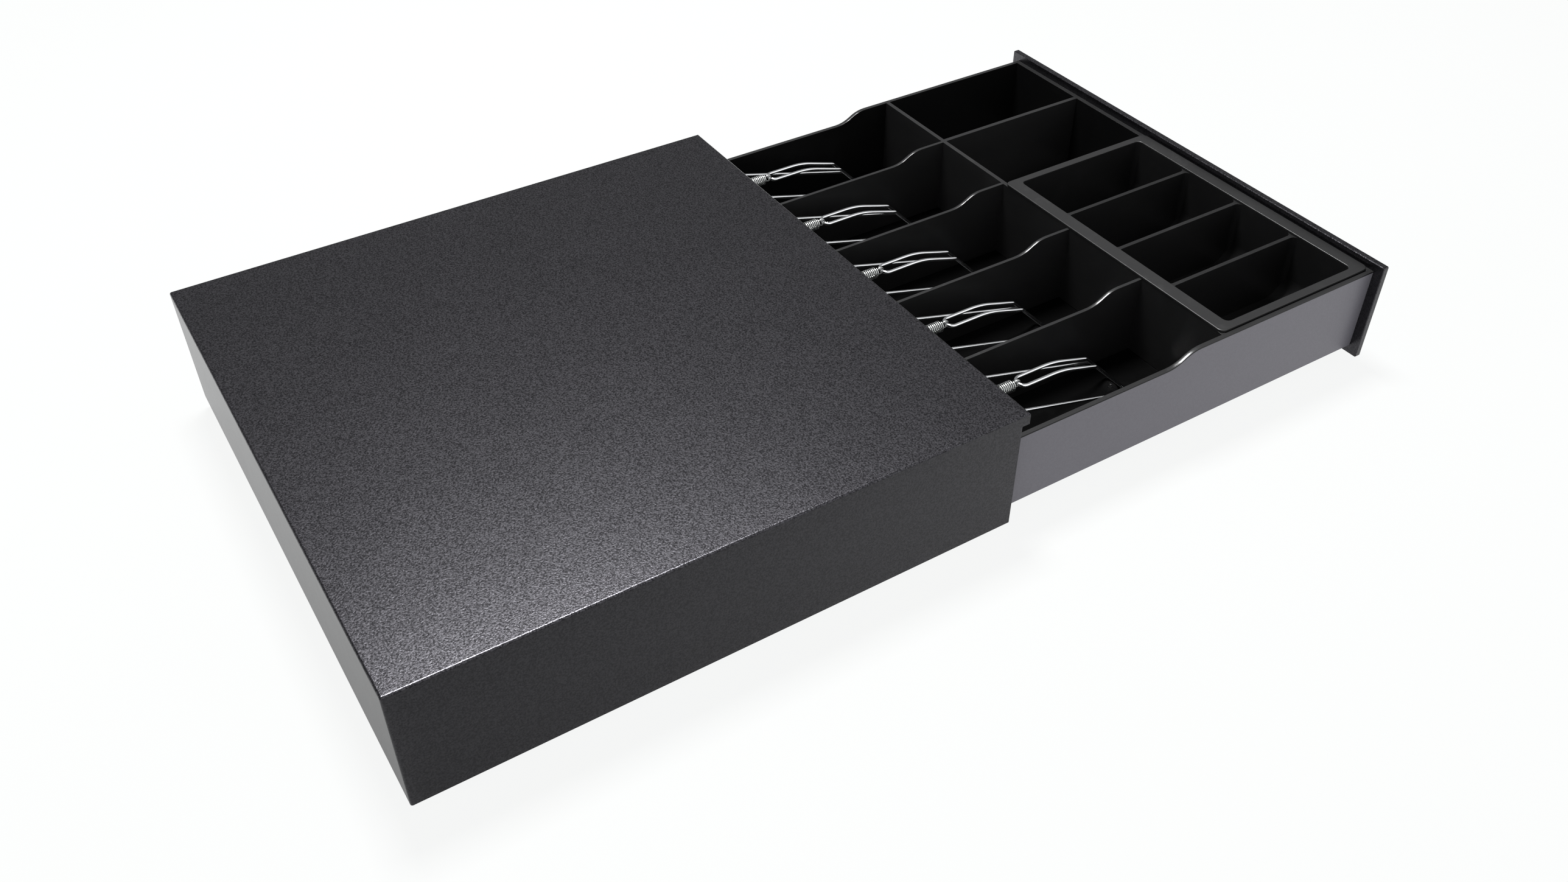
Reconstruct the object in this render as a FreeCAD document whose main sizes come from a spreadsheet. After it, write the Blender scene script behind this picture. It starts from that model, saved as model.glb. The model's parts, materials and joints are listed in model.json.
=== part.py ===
"""A steel cash drawer: a housing, and a drawer that slides out of its front on rollers.

Millimetres. +Z is up, +X runs across the width and the drawer slides out along -Y. The origin is the centre
of the base plate's four fixing holes, on the plate's underside. The drawer is drawn fully open.
"""
import FreeCAD, Part
import math
import os
import re
import Sketcher

from FreeCAD import Rotation, Vector

doc = FreeCAD.newDocument("cash_drawer")
sheet = doc.addObject("Spreadsheet::Sheet", "dims")

# Driving dimensions: name, value, meaning.
SIZES = (
    ("case_width", 410.0, "housing, across"),
    ("case_front", -200.0, "front edge of the housing's side walls"),
    ("case_rear", 205.5, "outside of the back wall"),
    ("case_top", 89.4, "top face"),
    ("case_sheet", 1.2, "steel sheet of the housing"),
    ("nose_front", -205.6, "front of the folded hood above the front panel"),
    ("nose_bottom", 80.9, "underside of the hood"),
    ("nose_return", 7.6, "depth of the hood's inward fold"),
    ("case_flange", 10.0, "inward flange along the housing's lower edges"),
    ("base_front", -197.2, "front edge of the base plate"),
    ("outer_round", 1.5, "bend radius seen on the housing's edges"),
    ("fixing_x", 300.0, "fixing holes in the base, across"),
    ("fixing_y", 240.0, "fixing holes in the base, front to back"),
    ("fixing_hole", 2.75, "radius of a fixing hole"),
    ("base_lip_half", 150.0, "stiffening lip of the base, half its width"),
    ("base_lip_height", 6.0, "stiffening lip of the base"),
    ("screw_small", 1.25, "shank radius of the cover, foot and panel screws"),
    ("screw_large", 1.5, "shank radius of the latch and strike screws"),
    ("screw_head", 2.8, "head radius of the screws"),
    ("screw_clear", 1.7, "radius of a clearance hole for a screw"),
    ("foot_height", 10.6, "rubber foot"),
    ("foot_radius", 12.0, "rubber foot at its lower end"),
    ("foot_flare", 1.5, "how much wider a foot is at the plate"),
    ("foot_seat", 4.5, "radius of the recess for a foot's screw"),
    ("foot_web", 3.0, "rubber above a foot's screw head"),
    ("foot_x", 172.0, "foot centres from the middle, across"),
    ("foot_y", 168.0, "foot centres from the middle, front to back"),
    ("screw_flange_x", 198.8, "cover screws from the middle"),
    ("travel", 328.3, "drawer travel"),
    ("panel_inner", -528.6, "back face of the front panel"),
    ("panel_thick", 5.3, "front panel"),
    ("panel_height", 78.6, "front panel"),
    ("pan_width", 395.0, "drawer pan, across"),
    ("pan_sheet", 1.0, "steel sheet of the pan"),
    ("pan_bottom", 7.1, "underside of the pan"),
    ("pan_rear", -153.0, "outside of the pan's back wall"),
    ("wall_high", 72.3, "top of the walls around the coins"),
    ("wall_low", 64.1, "top of the walls between the notes"),
    ("slope_front", -361.0, "front end of the sloped step in the walls"),
    ("slope_rear", -332.0, "rear end of the sloped step in the walls"),
    ("hump_front", -206.0, "where the walls start to rise towards the clip rods"),
    ("hump_rear", -186.0, "where that rise ends"),
    ("hump_top", 79.0, "top of the walls at the clip rods"),
    ("till_gap", 0.1, "play between the till insert and the pan"),
    ("till_wall", 2.0, "outer wall of the till insert"),
    ("till_front_wall", 1.5, "front wall of the till insert"),
    ("till_lip", 1.2, "lip that covers the pan's upper edge"),
    ("till_floor", 11.0, "upper face of the till's floor"),
    ("note_pitch", 77.2, "centre to centre of the note compartments"),
    ("note_wall", 2.4, "partition between notes"),
    ("note_front", -382.0, "front end of the note compartments"),
    ("note_rear", -156.6, "rear end of the note compartments"),
    ("coin_wall", 3.4, "partitions around the coins"),
    ("coin_split", 116.6, "middle of the partition between the fixed front compartments"),
    ("recess_side", 33.1, "middle of the partition beside the coin tray"),
    ("tray_left", -193.9, "rim of the coin tray"),
    ("tray_right", 35.4, "rim of the coin tray"),
    ("tray_front", -526.8, "rim of the coin tray"),
    ("tray_rear", -381.9, "rim of the coin tray"),
    ("tray_top", 74.4, "upper face of the tray's rim"),
    ("tray_rim", 2.0, "thickness of the tray's rim"),
    ("tray_round", 4.5, "outer corner radius of the rim"),
    ("cup_pitch", 55.0, "centre to centre of the coin cups"),
    ("cup_width", 52.0, "inside of a coin cup, across"),
    ("cup_first", -161.4, "middle of the first coin cup"),
    ("cup_front", -515.7, "inside of a coin cup"),
    ("cup_rear", -393.3, "inside of a coin cup"),
    ("cup_floor", 22.0, "inside of a coin cup"),
    ("cup_wall", 1.2, "wall of a coin cup"),
    ("cup_scoop", 16.0, "curve from a cup's floor to its front wall"),
    ("cup_heel", 5.0, "curve from a cup's floor to its rear wall"),
    ("cup_corner", 4.0, "upright corners of a cup"),
    ("clip_wire", 1.25, "radius of the clip wire"),
    ("clip_arm", 20.2, "clip arms from the clip's middle"),
    ("clip_loop", 5.0, "wires of the clip's finger loop from its middle"),
    ("rod_y", -177.3, "clip pivot rod"),
    ("rod_z", 71.0, "clip pivot rod"),
    ("rod_radius", 1.5, "clip pivot rod"),
    ("anchor_y", -161.0, "rod that holds the rear ends of the clip springs"),
    ("anchor_z", 64.0, "rod that holds the rear ends of the clip springs"),
    ("anchor_radius", 1.25, "rod that holds the rear ends of the clip springs"),
    ("arm_slope", 15.4, "degrees by which the clip arms fall towards the front"),
    ("foot_y_clip", -346.6, "front end of a clip, where it presses on the notes"),
    ("foot_z_clip", 12.3, "height of the wire there"),
    ("loop_top_y", -305.0, "front bend of the finger loop"),
    ("loop_top_z", 54.2, "front bend of the finger loop"),
    ("loop_rise_y", -273.5, "rear bend of the finger loop"),
    ("loop_end_y", -240.0, "rear end of the finger loop"),
    ("loop_end_z", 64.0, "rear end of the finger loop"),
    ("coil_radius", 3.6, "clip spring, middle of the wire"),
    ("coil_wire", 0.5, "radius of the clip spring's wire"),
    ("coil_turns", 16.0, "turns of a clip spring"),
    ("coil_pitch", 1.5, "clip spring"),
    ("hook_ring", 2.6, "end loops of a clip spring, middle of the wire"),
    ("hook_shift", 0.8, "offset of an end loop from the wire that it holds"),
    ("running", 0.05, "radial clearance of a turning fit"),
    ("front_roller", 2.8, "radius of a front support roller"),
    ("front_axle", 1.0, "radius of a front axle"),
    ("front_roller_y", -190.0, "front rollers"),
    ("front_roller_x", 179.0, "front rollers, from the middle"),
    ("front_roller_half", 7.0, "half the width of a front roller"),
    ("ear_play", 0.2, "side play of a front roller in its bracket"),
    ("ear_sheet", 1.0, "upright ear of a roller bracket"),
    ("ear_reach", 7.0, "foot of a roller bracket, from the roller's end"),
    ("ear_half", 6.0, "half the length of a roller bracket"),
    ("ear_foot", 0.8, "thickness of a roller bracket's foot"),
    ("rear_roller", 8.0, "radius of a rear roller"),
    ("rear_axle", 2.5, "radius of a rear axle"),
    ("rear_roller_y", -163.0, "rear rollers"),
    ("rear_roller_z", 30.0, "rear rollers"),
    ("rail_play", 0.2, "gap above and below a rear roller"),
    ("rail_sheet", 1.2, "steel sheet of a guide rail"),
    ("rail_front", -177.0, "front end of a guide rail"),
    ("rail_rear", 198.0, "rear end of a guide rail"),
    ("rail_lap", 0.8, "gap between the pan and a rail's flanges"),
    ("bumper_inner", 199.2, "inner face of a stop bumper, from the middle"),
    ("bumper_outer", 202.4, "outer face of a stop bumper, from the middle"),
    ("bumper_half", 7.0, "half the height of a stop bumper"),
    ("lock_height", 38.0, "lock axis above the base"),
    ("lock_barrel", 8.0, "radius of the lock barrel"),
    ("lock_plug", 5.5, "radius of the lock plug"),
    ("lock_collar", 11.0, "radius of the collar on the panel's face"),
    ("collar_thick", 2.0, "collar on the panel's face"),
    ("lock_end", -524.0, "inner end of the lock barrel"),
    ("lock_clip", 13.0, "radius of the clip that holds the lock"),
    ("lock_clip_sheet", 0.8, "clip that holds the lock"),
    ("cam_reach", 35.5, "lock cam, from axis to tip"),
    ("cam_front", -522.7, "front face of the cam"),
    ("cam_rear", -520.7, "rear face of the cam"),
    ("cam_half", 6.0, "half the width of the cam"),
    ("cam_square", 2.5, "half the side of the plug's square end"),
    ("cam_slot_left", -32.0, "slot for the cam in the pan's floor"),
    ("cam_slot_right", 8.0, "slot for the cam in the pan's floor"),
    ("cam_slot_front", -524.5, "slot for the cam in the pan's floor"),
    ("cam_slot_rear", -518.0, "slot for the cam in the pan's floor"),
    ("latch_y", 199.5, "latch lever pivot"),
    ("latch_z", 38.0, "latch lever pivot"),
    ("latch_pin", 1.5, "radius of the latch pivot pin"),
    ("latch_screw_x", 9.5, "latch bracket's screws, from the middle"),
    ("latch_screw_y", 188.0, "latch bracket's screws"),
    ("bracket_half", 14.0, "half the width of the latch bracket"),
    ("bracket_depth", 22.0, "latch bracket, front to back"),
    ("bracket_top", 84.0, "top of the latch bracket"),
    ("bracket_sheet", 1.2, "steel sheet of the latch bracket"),
    ("cheek_gap", 2.3, "inner face of a cheek beside the lever, from the middle"),
    ("cheek_front", 195.0, "front edge of the cheeks"),
    ("cheek_top", 44.0, "top of the cheeks"),
    ("lever_reach", 18.6, "latch lever, from pivot to tip"),
    ("lever_boss", 3.2, "radius of the lever round its pivot"),
    ("lever_hook", 6.0, "depth of the lever's hook"),
    ("lever_width", 4.0, "thickness of the lever"),
    ("plunger_y", 190.0, "solenoid axis"),
    ("plunger_radius", 3.0, "solenoid plunger"),
    ("solenoid_low", 48.0, "underside of the solenoid frame"),
    ("solenoid_high", 80.0, "top of the solenoid frame"),
    ("solenoid_half", 11.0, "half the width of the solenoid frame"),
    ("solenoid_deep", 10.5, "half the depth of the solenoid frame"),
    ("solenoid_sheet", 1.5, "steel of the solenoid frame"),
    ("winding", 8.6, "radius of the solenoid's winding"),
    ("bobbin", 8.95, "radius of the bobbin's cheeks"),
    ("collar_radius", 4.6, "collar on the plunger that its spring rests on"),
    ("latch_coil", 3.9, "latch spring, middle of the wire"),
    ("latch_wire", 0.4, "radius of the latch spring's wire"),
    ("latch_turns", 2.5, "turns of the latch spring"),
    ("latch_pitch", 1.3, "latch spring"),
    ("ejector_x", 90.0, "ejector springs, from the middle"),
    ("ejector_z", 36.0, "ejector springs, above the base"),
    ("ejector_base", 1.5, "plate of an ejector post"),
    ("ejector_plate", 8.0, "radius of an ejector post's plate"),
    ("ejector_stem", 2.8, "radius of an ejector post"),
    ("ejector_reach", 14.0, "length of an ejector post"),
    ("ejector_coil", 4.5, "ejector spring, middle of the wire"),
    ("ejector_wire", 0.7, "radius of the ejector spring's wire"),
    ("ejector_turns", 12.0, "turns of an ejector spring"),
    ("ejector_pitch", 3.0, "ejector spring"),
    ("socket_x", 120.0, "control socket"),
    ("socket_y", 182.0, "control socket"),
    ("socket_half_x", 6.8, "half the width of the socket"),
    ("socket_half_y", 5.8, "half the depth of the socket"),
    ("socket_ledge", 2.2, "how far the socket's ledge reaches past its shell"),
    ("socket_height", 15.0, "top of the socket"),
    ("strike_screw_x", 11.0, "strike plate's screws, from the middle"),
    ("strike_screw_z", 24.0, "strike plate's screws, above the base"),
    ("strike_sheet", 1.5, "steel of the strike plate"),
)
NAMES = {name for name, _, _ in SIZES}
PLAY = "0.2"  # clearance round parts that drop into a cutout
for row, (name, size, meaning) in enumerate(SIZES, start=1):
    sheet.set(f"A{row}", str(size))
    sheet.setAlias(f"A{row}", name)
    sheet.set(f"B{row}", meaning)
doc.recompute()

NODES = []  # every finished piece, in the order it is made


# ---------------------------------------------------------------- helpers


def bound(text):
    """An expression with each name from the sheet written as dims.name."""
    return re.sub(r"[a-z_]+", lambda m: "dims." + m[0] if m[0] in NAMES else m[0], str(text))


def size(text):
    """The present value of an expression."""
    return float(sheet.evalExpression(bound(text)))


def finish(shape_object, label):
    """Names a finished piece and puts it on the list that is written out."""
    shape_object.Label = label
    NODES.append(shape_object)
    return shape_object


def new_body(label):
    body = doc.addObject("PartDesign::Body", label)
    return finish(body, label)


def sketch(body, name, role, lift="0"):
    """A sketch on one of the body's own planes, lifted along the plane's normal."""
    made = body.newObject("Sketcher::SketchObject", f"{body.Name}_{name}")
    plane = next(f for f in body.Origin.OriginFeatures if f.Role == role)
    made.AttachmentSupport = [(plane, "")]
    made.MapMode = "FlatFace"
    if lift != "0":
        made.setExpression("AttachmentOffset.Base.z", bound(lift))
    return made


def hold(drawing, constraint, expression):
    """Adds a dimension to a sketch and binds it to an expression."""
    index = drawing.addConstraint(constraint)
    drawing.setExpression(f"Constraints[{index}]", bound(expression))


def pin_point(drawing, geometry, vertex, u, v):
    """Fixes a vertex of a sketch at (u, v), measured from the sketch's origin."""
    hold(drawing, Sketcher.Constraint("DistanceX", -1, 1, geometry, vertex, size(u)), u)
    hold(drawing, Sketcher.Constraint("DistanceY", -1, 1, geometry, vertex, size(v)), v)


def arc_between(start, end, radius):
    """The anticlockwise arc of less than half a turn from start to end."""
    chord = end - start
    middle = (start + end) * 0.5
    left = Vector(-chord.y, chord.x, 0).normalize()
    centre = middle + left * math.sqrt(max(radius**2 - (chord.Length / 2) ** 2, 0))
    first = math.atan2(start.y - centre.y, start.x - centre.x)
    last = math.atan2(end.y - centre.y, end.x - centre.x)
    if last < first:
        last += 2 * math.pi
    return Part.ArcOfCircle(Part.Circle(centre, Vector(0, 0, 1), radius), first, last)


def outline(drawing, points):
    """Draws a closed outline. A point is (u, v), or (u, v, radius, turn) where an arc of that radius
    leaves it: turn is 1 for an anticlockwise arc and -1 for a clockwise one."""
    spots = [Vector(size(p[0]), size(p[1]), 0) for p in points]
    ends = []
    for i, point in enumerate(points):
        here, there = spots[i], spots[(i + 1) % len(points)]
        if len(point) == 2:
            geometry = drawing.addGeometry(Part.LineSegment(here, there))
            ends.append((geometry, 1, 2))
            continue
        radius, turn = point[2], point[3]
        if turn > 0:
            geometry = drawing.addGeometry(arc_between(here, there, size(radius)))
            ends.append((geometry, 1, 2))
        else:
            geometry = drawing.addGeometry(arc_between(there, here, size(radius)))
            ends.append((geometry, 2, 1))
        hold(drawing, Sketcher.Constraint("Radius", geometry, size(radius)), radius)
    for i, point in enumerate(points):
        geometry, first, last = ends[i]
        following, start, _ = ends[(i + 1) % len(points)]
        drawing.addConstraint(Sketcher.Constraint("Coincident", geometry, last, following, start))
        pin_point(drawing, geometry, first, point[0], point[1])


def rectangle(drawing, u_low, u_high, v_low, v_high):
    outline(drawing, [(u_low, v_low), (u_high, v_low), (u_high, v_high), (u_low, v_high)])


def round_rectangle(drawing, u_low, u_high, v_low, v_high, radius):
    outline(
        drawing,
        [
            (f"{u_low} + {radius}", v_low),
            (f"{u_high} - {radius}", v_low, radius, 1),
            (u_high, f"{v_low} + {radius}"),
            (u_high, f"{v_high} - {radius}", radius, 1),
            (f"{u_high} - {radius}", v_high),
            (f"{u_low} + {radius}", v_high, radius, 1),
            (u_low, f"{v_high} - {radius}"),
            (u_low, f"{v_low} + {radius}", radius, 1),
        ],
    )


def circle(drawing, u, v, radius):
    centre = Vector(size(u), size(v), 0)
    geometry = drawing.addGeometry(Part.Circle(centre, Vector(0, 0, 1), size(radius)))
    hold(drawing, Sketcher.Constraint("Radius", geometry, size(radius)), radius)
    pin_point(drawing, geometry, 3, u, v)


def pad(body, drawing, length, symmetric=False, backwards=False):
    made = body.newObject("PartDesign::Pad", f"{drawing.Name}_pad")
    made.Profile = drawing
    made.SideType = "Symmetric" if symmetric else "One side"
    made.Reversed = backwards
    made.setExpression("Length", bound(length))
    doc.recompute()
    return made


def pocket(body, drawing, length, symmetric=False, backwards=False):
    """Cuts a sketch into the body and makes sure that it took something away."""
    before = body.Shape.Volume
    made = body.newObject("PartDesign::Pocket", f"{drawing.Name}_pocket")
    made.Profile = drawing
    made.SideType = "Symmetric" if symmetric else "One side"
    made.Reversed = backwards
    made.setExpression("Length", bound(length))
    doc.recompute()
    if not body.Shape.Volume < before:
        raise RuntimeError(f"{made.Name} cut nothing")
    return made


def dress(body, kind, radius, chosen):
    """Rounds (Fillet) or bevels (Chamfer) the edges whose middle point and direction pass the test."""
    base = body.Tip
    names = []
    for i, edge in enumerate(base.Shape.Edges, start=1):
        middle = edge.valueAt((edge.FirstParameter + edge.LastParameter) / 2)
        along = edge.tangentAt((edge.FirstParameter + edge.LastParameter) / 2)
        if chosen(middle, along):
            names.append(f"Edge{i}")
    if not names:
        raise RuntimeError(f"no edge of {body.Label} to dress")
    made = body.newObject(f"PartDesign::{kind}", f"{body.Name}_{kind.lower()}")
    made.Base = (base, names)
    made.setExpression("Radius" if kind == "Fillet" else "Size", bound(radius))
    doc.recompute()
    return made


def near(a, b, reach=0.02):
    return abs(a - b) < reach


def place(made, x, y, z):
    for letter, expression in (("x", x), ("y", y), ("z", z)):
        made.setExpression(f"Placement.Base.{letter}", bound(expression))


def box(name, x, y, z):
    """A Part box between a low and a high expression on each axis."""
    made = doc.addObject("Part::Box", name)
    for key, (low, high) in zip(("Length", "Width", "Height"), (x, y, z)):
        made.setExpression(key, bound(f"({high}) - ({low})"))
    place(made, x[0], y[0], z[0])
    return made


TURNS = {
    "x": Rotation(Vector(0, 1, 0), 90),
    "y": Rotation(Vector(1, 0, 0), -90),
    "z": Rotation(),
}


def cylinder(name, axis, start, radius, length):
    """A Part cylinder that runs from start along +axis."""
    made = doc.addObject("Part::Cylinder", name)
    made.Placement.Rotation = TURNS[axis]
    made.setExpression("Radius", bound(radius))
    made.setExpression("Height", bound(length))
    place(made, *start)
    return made


def torus(name, axis, centre, ring, wire):
    made = doc.addObject("Part::Torus", name)
    made.Placement.Rotation = TURNS[axis]
    made.setExpression("Radius1", bound(ring))
    made.setExpression("Radius2", bound(wire))
    place(made, *centre)
    return made


def fuse(name, pieces):
    made = doc.addObject("Part::MultiFuse", name)
    made.Shapes = pieces
    return made


def cut(name, base, tools):
    made = doc.addObject("Part::Cut", name)
    made.Base = base
    made.Tool = tools[0] if len(tools) == 1 else fuse(f"{name}_tools", tools)
    return made


def group(label, pieces):
    """Identical separate solids that share one node."""
    made = doc.addObject("Part::Compound", label)
    made.Links = pieces
    return finish(made, label)


def shifted(start, axis, amount):
    """A start point moved along one axis by an expression."""
    return tuple(f"{part} + {amount}" if letter == axis else part for letter, part in zip("xyz", start))


def screws(label, axis, seats, into, shank, length, head, head_height):
    """Pan-head screws with a cross recess. A seat is the point under the head; into is 1 where the shank runs
    along +axis and -1 where it runs the other way."""
    made = []
    for i, seat in enumerate(seats):
        name = f"{label}_{i}"
        back = f"(0 - {length})" if into < 0 else "0"
        stem = cylinder(f"{name}_stem", axis, shifted(seat, axis, back), shank, length)
        back = "0" if into < 0 else f"(0 - {head_height})"
        cap = cylinder(f"{name}_cap", axis, shifted(seat, axis, back), head, head_height)
        deep = f"({head_height}) * 0.5"
        back = deep if into < 0 else f"(0 - {head_height})"
        slots = []
        for across in "xyz".replace(axis, ""):
            reach = {letter: ("0 - 0.4", "0.4") for letter in "xyz"}
            reach[across] = (f"0 - {head} * 0.55", f"{head} * 0.55")
            reach[axis] = (back, f"{back} + {deep}")
            spans = [(f"{part} + {reach[k][0]}", f"{part} + {reach[k][1]}") for k, part in zip("xyz", seat)]
            slots.append(box(f"{name}_slot_{across}", *spans))
        made.append(cut(name, fuse(f"{name}_blank", [stem, cap]), slots))
    return group(label, made)


def smooth_path(corners):
    """A wire through corner points, each corner (point, bend radius) rounded by a tangent arc."""
    edges = []
    last = corners[0][0]
    for i in range(1, len(corners) - 1):
        here, bend = corners[i]
        back = (corners[i - 1][0] - here).normalize()
        ahead = (corners[i + 1][0] - here).normalize()
        half = back.getAngle(ahead) / 2
        run = bend / math.tan(half)
        bisector = (back + ahead).normalize()
        top = here + bisector * (bend / math.sin(half) - bend)
        begin, end = here + back * run, here + ahead * run
        if (begin - last).Length > 1e-6:
            edges.append(Part.makeLine(last, begin))
        edges.append(Part.Arc(begin, top, end).toShape())
        last = end
    edges.append(Part.makeLine(last, corners[-1][0]))
    return Part.Wire(edges)


def wire_sweep(name, corners, radius):
    """A round wire swept along a smooth path."""
    path = doc.addObject("Part::Feature", f"{name}_path")
    path.Shape = smooth_path(corners)
    section = doc.addObject("Part::Circle", f"{name}_section")
    section.setExpression("Radius", bound(radius))
    begin, ahead = corners[0][0], corners[1][0] - corners[0][0]
    section.Placement = FreeCAD.Placement(begin, Rotation(Vector(0, 0, 1), ahead))
    made = doc.addObject("Part::Sweep", name)
    made.Sections = [section]
    made.Spine = (path, [f"Edge{i}" for i in range(1, len(path.Shape.Edges) + 1)])
    made.Solid = True
    made.Frenet = False
    return made


SIDES = (("left", -1), ("right", 1))
WHOLE = "case_width * 2"  # longer than anything that a through cut crosses


# ---------------------------------------------------------------- housing

COVER_SCREW_YS = (-160, -50, 60, 170)
LATCH_SEATS = [(f"{sign} * latch_screw_x", "latch_screw_y", "0") for _, sign in SIDES]
FLANGE_LOW = "case_sheet + 0.1"


def cover_screw_spots():
    return [(f"{sign} * screw_flange_x", str(y)) for _, sign in SIDES for y in COVER_SCREW_YS]


def housing_cover():
    """Top, sides and back in one folded sheet, with a hood above the front panel and flanges below."""
    body = new_body("housing_cover")
    side = sketch(body, "side", "YZ_Plane")
    outline(
        side,
        [
            ("case_front", "0"),
            ("case_rear", "0"),
            ("case_rear", "case_top"),
            ("nose_front", "case_top"),
            ("nose_front", "nose_bottom"),
            ("case_front", "nose_bottom"),
        ],
    )
    pad(body, side, "case_width", symmetric=True)
    hollow = sketch(body, "hollow", "YZ_Plane")
    fold = "nose_front + nose_return"
    inner_nose = "nose_front + case_sheet"
    lip = "nose_bottom + case_sheet"
    ceiling = "case_top - case_sheet"
    outline(
        hollow,
        [
            ("case_rear - case_sheet", "0 - 1"),
            ("case_rear - case_sheet", ceiling),
            (inner_nose, ceiling),
            (inner_nose, lip),
            (fold, lip),
            (fold, "nose_bottom"),
            ("nose_front - 5", "nose_bottom"),
            ("nose_front - 5", "0 - 1"),
        ],
    )
    pocket(body, hollow, "case_width - 2 * case_sheet", symmetric=True)
    flange = sketch(body, "flange", "XY_Plane", FLANGE_LOW)
    outer = "(case_width / 2 - case_sheet / 2)"
    inner = "(case_width / 2 - case_sheet - case_flange)"
    rectangle(flange, f"0 - {outer}", f"0 - {inner}", "case_front + 4", "case_rear - 10")
    rectangle(flange, inner, outer, "case_front + 4", "case_rear - 10")
    pad(body, flange, "case_sheet")
    holes = sketch(body, "screw_holes", "XY_Plane")
    for x, y in cover_screw_spots():
        circle(holes, x, y, "screw_small")
    pocket(body, holes, "10", backwards=True)
    top, rear, half = size("case_top"), size("case_rear"), size("case_width / 2")

    def outside_edge(middle, along):
        on_top = near(middle.z, top) and near(abs(middle.x), half)
        on_rear_top = near(middle.z, top) and near(middle.y, rear)
        on_front_top = near(middle.z, top) and near(middle.y, size("nose_front"))
        upright = near(middle.y, rear) and near(abs(middle.x), half) and abs(along.z) > 0.9
        return on_top or on_rear_top or on_front_top or upright

    dress(body, "Fillet", "outer_round", outside_edge)


def socket_outline(drawing, margin, corner):
    """The control socket's outline, widened by a margin."""
    round_rectangle(
        drawing,
        f"socket_x - socket_half_x - {margin}",
        f"socket_x + socket_half_x + {margin}",
        f"socket_y - socket_half_y - {margin}",
        f"socket_y + socket_half_y + {margin}",
        corner,
    )


def base_plate():
    """A flat plate that closes the housing from below, with a stiffening lip at the front."""
    body = new_body("base_plate")
    plate = sketch(body, "plate", "XY_Plane")
    side = "case_width / 2 - case_sheet - 0.1"
    rear = "case_rear - case_sheet - 0.1"
    round_rectangle(plate, f"0 - ({side})", side, "base_front", rear, "2")
    pad(body, plate, "case_sheet")
    lip = sketch(body, "lip", "XY_Plane")
    rectangle(lip, "0 - base_lip_half", "base_lip_half", "base_front", "base_front + case_sheet")
    pad(body, lip, "base_lip_height")
    holes = sketch(body, "holes", "XY_Plane")
    for x, y in cover_screw_spots():
        circle(holes, x, y, "screw_clear")
    for _, sx in SIDES:
        for _, sy in SIDES:
            circle(holes, f"{sx} * fixing_x / 2", f"{sy} * fixing_y / 2", "fixing_hole")
            circle(holes, f"{sx} * foot_x", f"{sy} * foot_y", "screw_small")
    for x, y, _ in LATCH_SEATS:
        circle(holes, x, y, "screw_large")
    socket_outline(holes, PLAY, "1")
    pocket(body, holes, "case_sheet", backwards=True)


def rubber_feet():
    feet, seats = [], []
    for x_name, sx in SIDES:
        for y_name, sy in SIDES:
            name = f"foot_{x_name}_{y_name}"
            spot = (f"{sx} * foot_x", f"{sy} * foot_y")
            ground = (*spot, "0 - foot_height")
            cone = doc.addObject("Part::Cone", f"{name}_cone")
            cone.setExpression("Radius1", bound("foot_radius"))
            cone.setExpression("Radius2", bound("foot_radius + foot_flare"))
            cone.setExpression("Height", bound("foot_height"))
            place(cone, *ground)
            seat = cylinder(f"{name}_seat", "z", ground, "foot_seat", "foot_height - foot_web")
            bore = cylinder(f"{name}_bore", "z", ground, "screw_clear", "foot_height")
            feet.append(cut(name, cone, [seat, bore]))
            seats.append((*spot, "0 - foot_web"))
    group("rubber_feet", feet)
    screws("foot_screws", "z", seats, 1, "screw_small", "foot_web + case_sheet", "3.2", "2")


def cover_screws():
    seats = [(x, y, "0") for x, y in cover_screw_spots()]
    screws("cover_screws", "z", seats, 1, "screw_small", "3.2", "screw_head", "1.8")


def guide_rails():
    """C-shaped runners on the inside of the housing's side walls, each with a stop tab at its front end."""
    for side, sign in SIDES:
        body = new_body(f"guide_rail_{side}")
        shape = sketch(body, "section", "XZ_Plane", "0 - rail_rear")
        wall = f"{sign} * (case_width / 2 - case_sheet)"
        web = f"{sign} * (case_width / 2 - case_sheet - rail_sheet)"
        mouth = f"{sign} * (pan_width / 2 + rail_lap)"
        low = "rear_roller_z - rear_roller - rail_play"
        high = "rear_roller_z + rear_roller + rail_play"
        outline(
            shape,
            [
                (wall, f"{low} - rail_sheet"),
                (mouth, f"{low} - rail_sheet"),
                (mouth, low),
                (web, low),
                (web, high),
                (mouth, high),
                (mouth, f"{high} + rail_sheet"),
                (wall, f"{high} + rail_sheet"),
            ],
        )
        pad(body, shape, "rail_rear - rail_front")
        tab = sketch(body, "stop_tab", "XZ_Plane", "0 - (rail_front + rail_sheet)")
        rectangle(tab, mouth, web, low, high)
        pad(body, tab, "rail_sheet")


def stop_bumpers():
    """Rubber pads on the rails' stop tabs, where the rear rollers come to rest."""
    pads = []
    for side, sign in SIDES:
        across = sorted((f"{sign} * bumper_inner", f"{sign} * bumper_outer"), key=size)
        along = ("rail_front + rail_sheet", f"rear_roller_y - rear_roller - {PLAY}")
        upright = ("rear_roller_z - bumper_half", "rear_roller_z + bumper_half")
        pads.append(box(f"bumper_{side}", across, along, upright))
    group("stop_bumpers", pads)


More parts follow.
